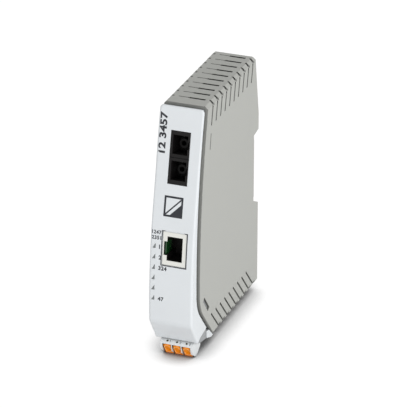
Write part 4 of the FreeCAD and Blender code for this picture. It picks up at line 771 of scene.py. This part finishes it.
class CONVERTER_OT_symbol(bpy.types.Operator):
    """Print the square converter symbol between the fibre ports and the network port"""
    bl_idname = "converter.symbol"
    bl_label = "Converter symbol"

    LEFTWARDS = 0.85 * MM       # how far the symbol stands out to the left of the fibre block
    RAISED = 0.7 * MM           # above the middle between the two ports
    TALL = 1.05                 # height, as a share of the width
    FOOT = 0.30                 # where the filled half begins along the bottom, as a share of it
    OVER, UNDER = 0.5, -0.2     # edges of the thin diagonal about the corner, in line widths

    def execute(self, context):
        sizes = context.scene.converter_sizes
        side = sizes.symbol
        line = sizes.symbol_line
        x = FIBRE_LEFT - self.LEFTWARDS
        fibre = opening(middle("laser_can").x, middle("fibre_sleeve_rx").z)
        network = opening(middle("jack_contacts").x, middle("jack_contacts").z)
        z = (fibre[2] + network[3]) / 2.0 - side / 2.0 + self.RAISED
        print_mark("symbol_frame", upright_ring(x, x + side, z, z + side * self.TALL, line), sizes.ink)
        inner = side - 2.0 * line
        left, base = x + line, z + line
        slant = Vector((-1.0, 0.0, 1.0)).normalized()
        foot = Vector((left + self.FOOT * inner, 0.0, base))
        corner = Vector((left, 0.0, base))
        half = ((foot, slant),)
        diagonal = ((corner + slant * (self.OVER * line), slant),
                    (corner + slant * (self.UNDER * line), -slant))
        for name, cuts in (("symbol_half", half), ("symbol_diagonal", diagonal)):
            shape = upright_grid(left, left + inner, base, base + inner * self.TALL, 8, 8)
            for point, normal in cuts:
                geometry = shape.verts[:] + shape.edges[:] + shape.faces[:]
                bmesh.ops.bisect_plane(shape, geom=geometry, plane_co=point, plane_no=normal,
                                       clear_outer=True)
            print_mark(name, shape, sizes.ink)
        return {"FINISHED"}


class CONVERTER_OT_port_outline(bpy.types.Operator):
    """Print a thin line round the network port"""
    bl_idname = "converter.port_outline"
    bl_label = "Port outline"

    def execute(self, context):
        sizes = context.scene.converter_sizes
        margin = sizes.outline_gap + sizes.outline
        left, right, low, high = opening(middle("jack_contacts").x, middle("jack_contacts").z)
        shape = upright_ring(left - margin, right + margin, low - margin, high + margin, sizes.outline)
        print_mark("port_outline", shape, sizes.ink)
        return {"FINISHED"}


class CONVERTER_OT_port_lamp(bpy.types.Operator):
    """Make the green lens in the notch of the network port"""
    bl_idname = "converter.port_lamp"
    bl_label = "Port lamp"

    FRAME = 0.8 * MM                            # from the opening's edge to the shell's own opening
    PROBE = 2.0 * MM                            # from the opening's ends to where the lean is read
    WIDTH, HALF_HEIGHT = 0.9 * MM, 3.3 * MM
    FRONT, BACK = 1.2 * MM, 9.0 * MM            # depths behind the shell's front
    ROUND = 0.2 * MM

    def execute(self, context):
        left, right, low, high = opening(middle("jack_contacts").x, middle("jack_contacts").z)
        axes = face_axes("jack_shield", right - self.FRAME, low + self.PROBE, high - self.PROBE)
        axes.translation.x = 0.0
        notch = left + self.FRAME
        shape = block((notch, self.FRONT, -self.HALF_HEIGHT),
                      (notch + self.WIDTH, self.BACK, self.HALF_HEIGHT), self.ROUND)
        bmesh.ops.transform(shape, matrix=axes, verts=shape.verts[:])
        add_piece("port_lamp", shape, "lamp")
        return {"FINISHED"}


class CONVERTER_OT_lever_rims(bpy.types.Operator):
    """Make the raised oval rim on the face of each release lever, whose pale orange is a painted highlight.
    """
    bl_idname = "converter.lever_rims"
    bl_label = "Lever rims"

    def execute(self, context):
        sizes = context.scene.converter_sizes
        for index in (1, 2, 3):
            lever = "release_lever_%d" % index
            low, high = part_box(lever)
            centre = Vector(((low.x + high.x) / 2.0, 0.0, low.z + sizes.rim_place))
            shape = bmesh.new()
            oval = (Matrix.Translation(centre) @ UPRIGHT
                    @ Matrix.Diagonal((sizes.rim_width / 2.0, sizes.rim_height / 2.0, 1.0, 1.0)))
            bmesh.ops.create_circle(shape, cap_ends=True, radius=1.0, segments=40, matrix=oval)
            disc = shape.faces[:]
            bmesh.ops.inset_region(shape, faces=disc, thickness=sizes.rim_line, use_boundary=True,
                                   use_even_offset=True)
            bmesh.ops.delete(shape, geom=disc, context="FACES")
            lay_on(shape, lever, sizes.rim_step)
            add_piece("lever_rim_%d" % index, shape, "lever_rim", body="lever_%d" % index)
        return {"FINISHED"}


class CONVERTER_OT_test_contacts(bpy.types.Operator):
    """Make the contact cup in each test hole of the plug, and print the poles' numbers"""
    bl_idname = "converter.test_contacts"
    bl_label = "Test contacts"

    PROBE = (0.2 * MM, 0.9 * MM)    # heights over the lip between which the top's lean is read
    LENGTH = 0.5 * MM
    WALL = 0.25                     # wall of the cup, as a share of its radius
    BORE = 0.3 * MM                 # depth of the cup's hollow
    DEPTH = 0.35 * MM               # middle of the cup under the plug's top
    DIGIT_ROOM = 1.35 * MM          # from the middle of a hole to its number
    BOLD = 0.02
    FOOT = 2.0 * MM                 # the search for the lip starts this far over the plug's low end
    FACES_UP = 0.7                  # upward share of the normal from which a face is the top
    STEPS = range(4, 34)            # fine steps over the lip between which the hole is sought
    IN_HOLE = 0.15 * MM             # depth under the top at which the hole begins

    def execute(self, context):
        sizes = context.scene.converter_sizes
        plug = node_tree("power_plug")
        poles = [middle("release_lever_%d" % index).x for index in (1, 2, 3)]
        between = (poles[0] + poles[1]) / 2.0
        lip = self.lip(plug, between)
        axes = face_axes("power_plug", between, *(lip + height for height in self.PROBE))
        height = self.hole(plug, poles[1], axes, lip)
        for index, pole in enumerate(poles, 1):
            place = axes.copy()
            place.translation = Vector((pole, 0.0, 0.0)) + self.on_top(axes, height)
            cup = self.cup(sizes)
            bmesh.ops.transform(cup, matrix=place, verts=cup.verts[:])
            add_piece("test_contact_%d" % index, cup, "contact", body="plug")
            label = text_shape(str(index), sizes.pole_digit, self.DIGIT_ROOM, 0.0, bold=self.BOLD)
            thicken(label, SUNK * sizes.ink)
            bmesh.ops.translate(label, verts=label.verts[:], vec=(0.0, -sizes.ink, 0.0))
            bmesh.ops.transform(label, matrix=place, verts=label.verts[:])
            add_piece("pole_number_%d" % index, label, "pole_ink", body="plug")
        return {"FINISHED"}

    def cup(self, sizes):
        """Round cup that opens towards the front."""
        shape = bmesh.new()
        bmesh.ops.create_cone(shape, cap_ends=True, segments=24, radius1=sizes.cup, radius2=sizes.cup,
                              depth=self.LENGTH, matrix=UPRIGHT)
        outer = [face for face in shape.faces if len(face.verts) > 4 and face.normal.y < 0.0]
        bmesh.ops.inset_region(shape, faces=outer, thickness=self.WALL * sizes.cup,
                               use_even_offset=True)
        bmesh.ops.translate(shape, verts=[vert for face in outer for vert in face.verts],
                            vec=(0.0, self.BORE, 0.0))
        bmesh.ops.translate(shape, verts=shape.verts[:], vec=(0.0, self.DEPTH, 0.0))
        return shape

    def on_top(self, axes, height):
        """Point of the plug's top at a height, in the axes' plane."""
        up = axes.to_3x3() @ Vector((0.0, 0.0, 1.0))
        start = Vector((0.0, axes.translation.y, axes.translation.z))
        return start + up * ((height - start.z) / up.z)

    def lip(self, plug, x):
        """Height at which the plug's front turns into its top."""
        low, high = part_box("power_plug")
        height = low.z + self.FOOT
        while height < high.z:
            normal = met(plug, x, height)[1]
            if normal is not None and normal.z > self.FACES_UP:
                return height
            height += FINE
        raise RuntimeError("the plug has no top to print on")

    def hole(self, plug, x, axes, lip):
        """Middle height of the test hole at x: where the plug lies deeper than its top."""
        into = axes.to_3x3() @ INWARD
        heights = []
        for step in self.STEPS:
            height = lip + FINE * step
            place = met(plug, x, height)[0]
            if place is None or (place - axes.translation).dot(into) > self.IN_HOLE:
                heights.append(height)
        if not heights:
            raise RuntimeError("no test hole found in the plug's top")
        return (min(heights) + max(heights)) / 2.0


class CONVERTER_OT_stage(bpy.types.Operator):
    """Make the floor, the soft lamps, the even light and the camera"""
    bl_idname = "converter.stage"
    bl_label = "Stage"

    WHITE = (1.0, 1.0, 1.0, 1.0)
    FLOOR_PALE = (0.82, 0.82, 0.82)         # as it lights the object
    FLOOR_SEEN = (0.22, 0.22, 0.22)         # as it is seen, under its own glow
    SHADE_REACH = 0.018                     # how near the object the glow fades, which paints its shadow on the floor
    SHADE_RANGE = (0.27, 0.8)               # openness at which it is out, and at which it is full
    # name, place and side of each lamp
    LAMPS = (("right_lamp", (1.3, -1.0, 0.35), 1.0), ("front_lamp", (0.75, -1.75, 0.24), 0.6))
    SENSOR = 36.0                           # width of the camera's sensor in millimetres
    CLIP = (0.05, 50.0)                     # nearest and farthest that the camera sees

    def execute(self, context):
        stage = context.scene.converter_stage
        self.floor(context, stage)
        self.lamps(context, stage)
        self.sky(context, stage)
        self.camera(context, stage)
        context.scene.view_settings.view_transform = "Standard"
        return {"FINISHED"}

    def floor(self, context, stage):
        """Pale floor that shows white away from the object and a painted shadow where its glow fades near
        it, without lighting the object more.
        """
        shape = bmesh.new()
        bmesh.ops.create_grid(shape, x_segments=1, y_segments=1, size=stage.floor / 2.0,
                              matrix=Matrix.Translation((0.0, 0.0, FLOOR_LEVEL)))
        mesh = bpy.data.meshes.new("floor")
        shape.to_mesh(mesh)
        shape.free()
        floor = bpy.data.objects.new("floor", mesh)
        context.scene.collection.objects.link(floor)
        material = bpy.data.materials.new("floor_pale")
        material.use_nodes = True
        tree = material.node_tree
        shader = tree.nodes["Principled BSDF"]
        shader.inputs["Roughness"].default_value = 0.9
        shader.inputs["Specular IOR Level"].default_value = 0.1
        shader.inputs["Emission Color"].default_value = self.WHITE
        seen = self.seen(tree)
        tree.links.new(mixed(tree, seen, self.FLOOR_PALE, self.FLOOR_SEEN), shader.inputs["Base Color"])
        # painted shadow: the floor's glow fades where the occlusion probe finds the object near
        near = tree.nodes.new("ShaderNodeAmbientOcclusion")
        near.inputs["Distance"].default_value = self.SHADE_REACH
        near.samples = 12
        glow = spread(tree, near.outputs["AO"], *self.SHADE_RANGE, 0.0, stage.floor_glow)
        tree.links.new(product(tree, seen, glow), shader.inputs["Emission Strength"])
        mesh.materials.append(material)

    def seen(self, tree):
        """1 for rays that show the surroundings: straight, mirrored or through clear plastic."""
        path = tree.nodes.new("ShaderNodeLightPath")
        value = path.outputs["Is Camera Ray"]
        for label in ("Is Glossy Ray", "Is Transmission Ray"):
            value = math_node(tree, "MAXIMUM", value, path.outputs[label])
        return value

    def lamps(self, context, stage):
        """Two square softboxes that face the object."""
        for name, place, size in self.LAMPS:
            data = bpy.data.lights.new(name, "AREA")
            data.size = size
            data.energy = getattr(stage, name)
            lamp = bpy.data.objects.new(name, data)
            lamp.location = place
            lamp.rotation_mode = "QUATERNION"
            lamp.rotation_quaternion = (-Vector(place)).to_track_quat("-Z", "Y")
            context.scene.collection.objects.link(lamp)

    def sky(self, context, stage):
        """Even light from all round, seen as white."""
        world = bpy.data.worlds.new("even_light")
        world.use_nodes = True
        tree = world.node_tree
        back = tree.nodes["Background"]
        tree.links.new(spread(tree, self.seen(tree), 0.0, 1.0, stage.sky, 1.0), back.inputs["Strength"])
        back.inputs["Color"].default_value = self.WHITE
        context.scene.world = world

    def camera(self, context, stage):
        """Camera at its place, turned by its three angles."""
        data = bpy.data.cameras.new("camera")
        data.sensor_width = self.SENSOR
        data.lens = stage.lens
        data.clip_start, data.clip_end = self.CLIP
        camera = bpy.data.objects.new("camera", data)
        context.scene.collection.objects.link(camera)
        round_by, down_by = stage.azimuth, stage.elevation
        forward = Vector((-math.sin(round_by) * math.cos(down_by),
                          math.cos(round_by) * math.cos(down_by), -math.sin(down_by)))
        level = Vector((math.cos(round_by), math.sin(round_by), 0.0))
        down = forward.cross(level)
        right = level * math.cos(stage.roll) + down * math.sin(stage.roll)
        up = level * math.sin(stage.roll) - down * math.cos(stage.roll)
        turn = Matrix((right, up, -forward)).transposed().to_4x4()
        camera.matrix_world = Matrix.Translation(Vector(stage.place)) @ turn
        context.scene.camera = camera


# ---- sidebar and registration ------------------------------------------------------------------------
PIECES = (CONVERTER_OT_finishes, CONVERTER_OT_light_numbers, CONVERTER_OT_title_number,
          CONVERTER_OT_symbol, CONVERTER_OT_port_outline, CONVERTER_OT_port_lamp,
          CONVERTER_OT_lever_rims, CONVERTER_OT_test_contacts, CONVERTER_OT_stage)


class CONVERTER_PT_panel(bpy.types.Panel):
    """Lists the converter's settings and pieces"""
    bl_label = "Fibre Media Converter"
    bl_space_type = "VIEW_3D"
    bl_region_type = "UI"
    bl_category = "Converter"

    def draw(self, context):
        layout = self.layout
        for group in (context.scene.converter_colours, context.scene.converter_sizes,
                      context.scene.converter_stage):
            box = layout.box()
            for name in group.bl_rna.properties.keys():
                if name not in {"rna_type", "name"}:
                    box.prop(group, name)
        for piece in PIECES:
            layout.operator(piece.bl_idname)


CLASSES = (ConverterColours, ConverterSizes, ConverterStage, *PIECES, CONVERTER_PT_panel)


def register():
    """Add the settings, the operators and the panel."""
    for item in CLASSES:
        bpy.utils.register_class(item)
    bpy.types.Scene.converter_colours = PointerProperty(type=ConverterColours)
    bpy.types.Scene.converter_sizes = PointerProperty(type=ConverterSizes)
    bpy.types.Scene.converter_stage = PointerProperty(type=ConverterStage)


def unregister():
    """Take them away again."""
    del bpy.types.Scene.converter_stage
    del bpy.types.Scene.converter_sizes
    del bpy.types.Scene.converter_colours
    for item in reversed(CLASSES):
        bpy.utils.unregister_class(item)


def main():
    """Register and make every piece."""
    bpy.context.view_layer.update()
    register()
    for piece in PIECES:
        group, name = piece.bl_idname.split(".")
        getattr(getattr(bpy.ops, group), name)()


if __name__ == "__main__":
    main()
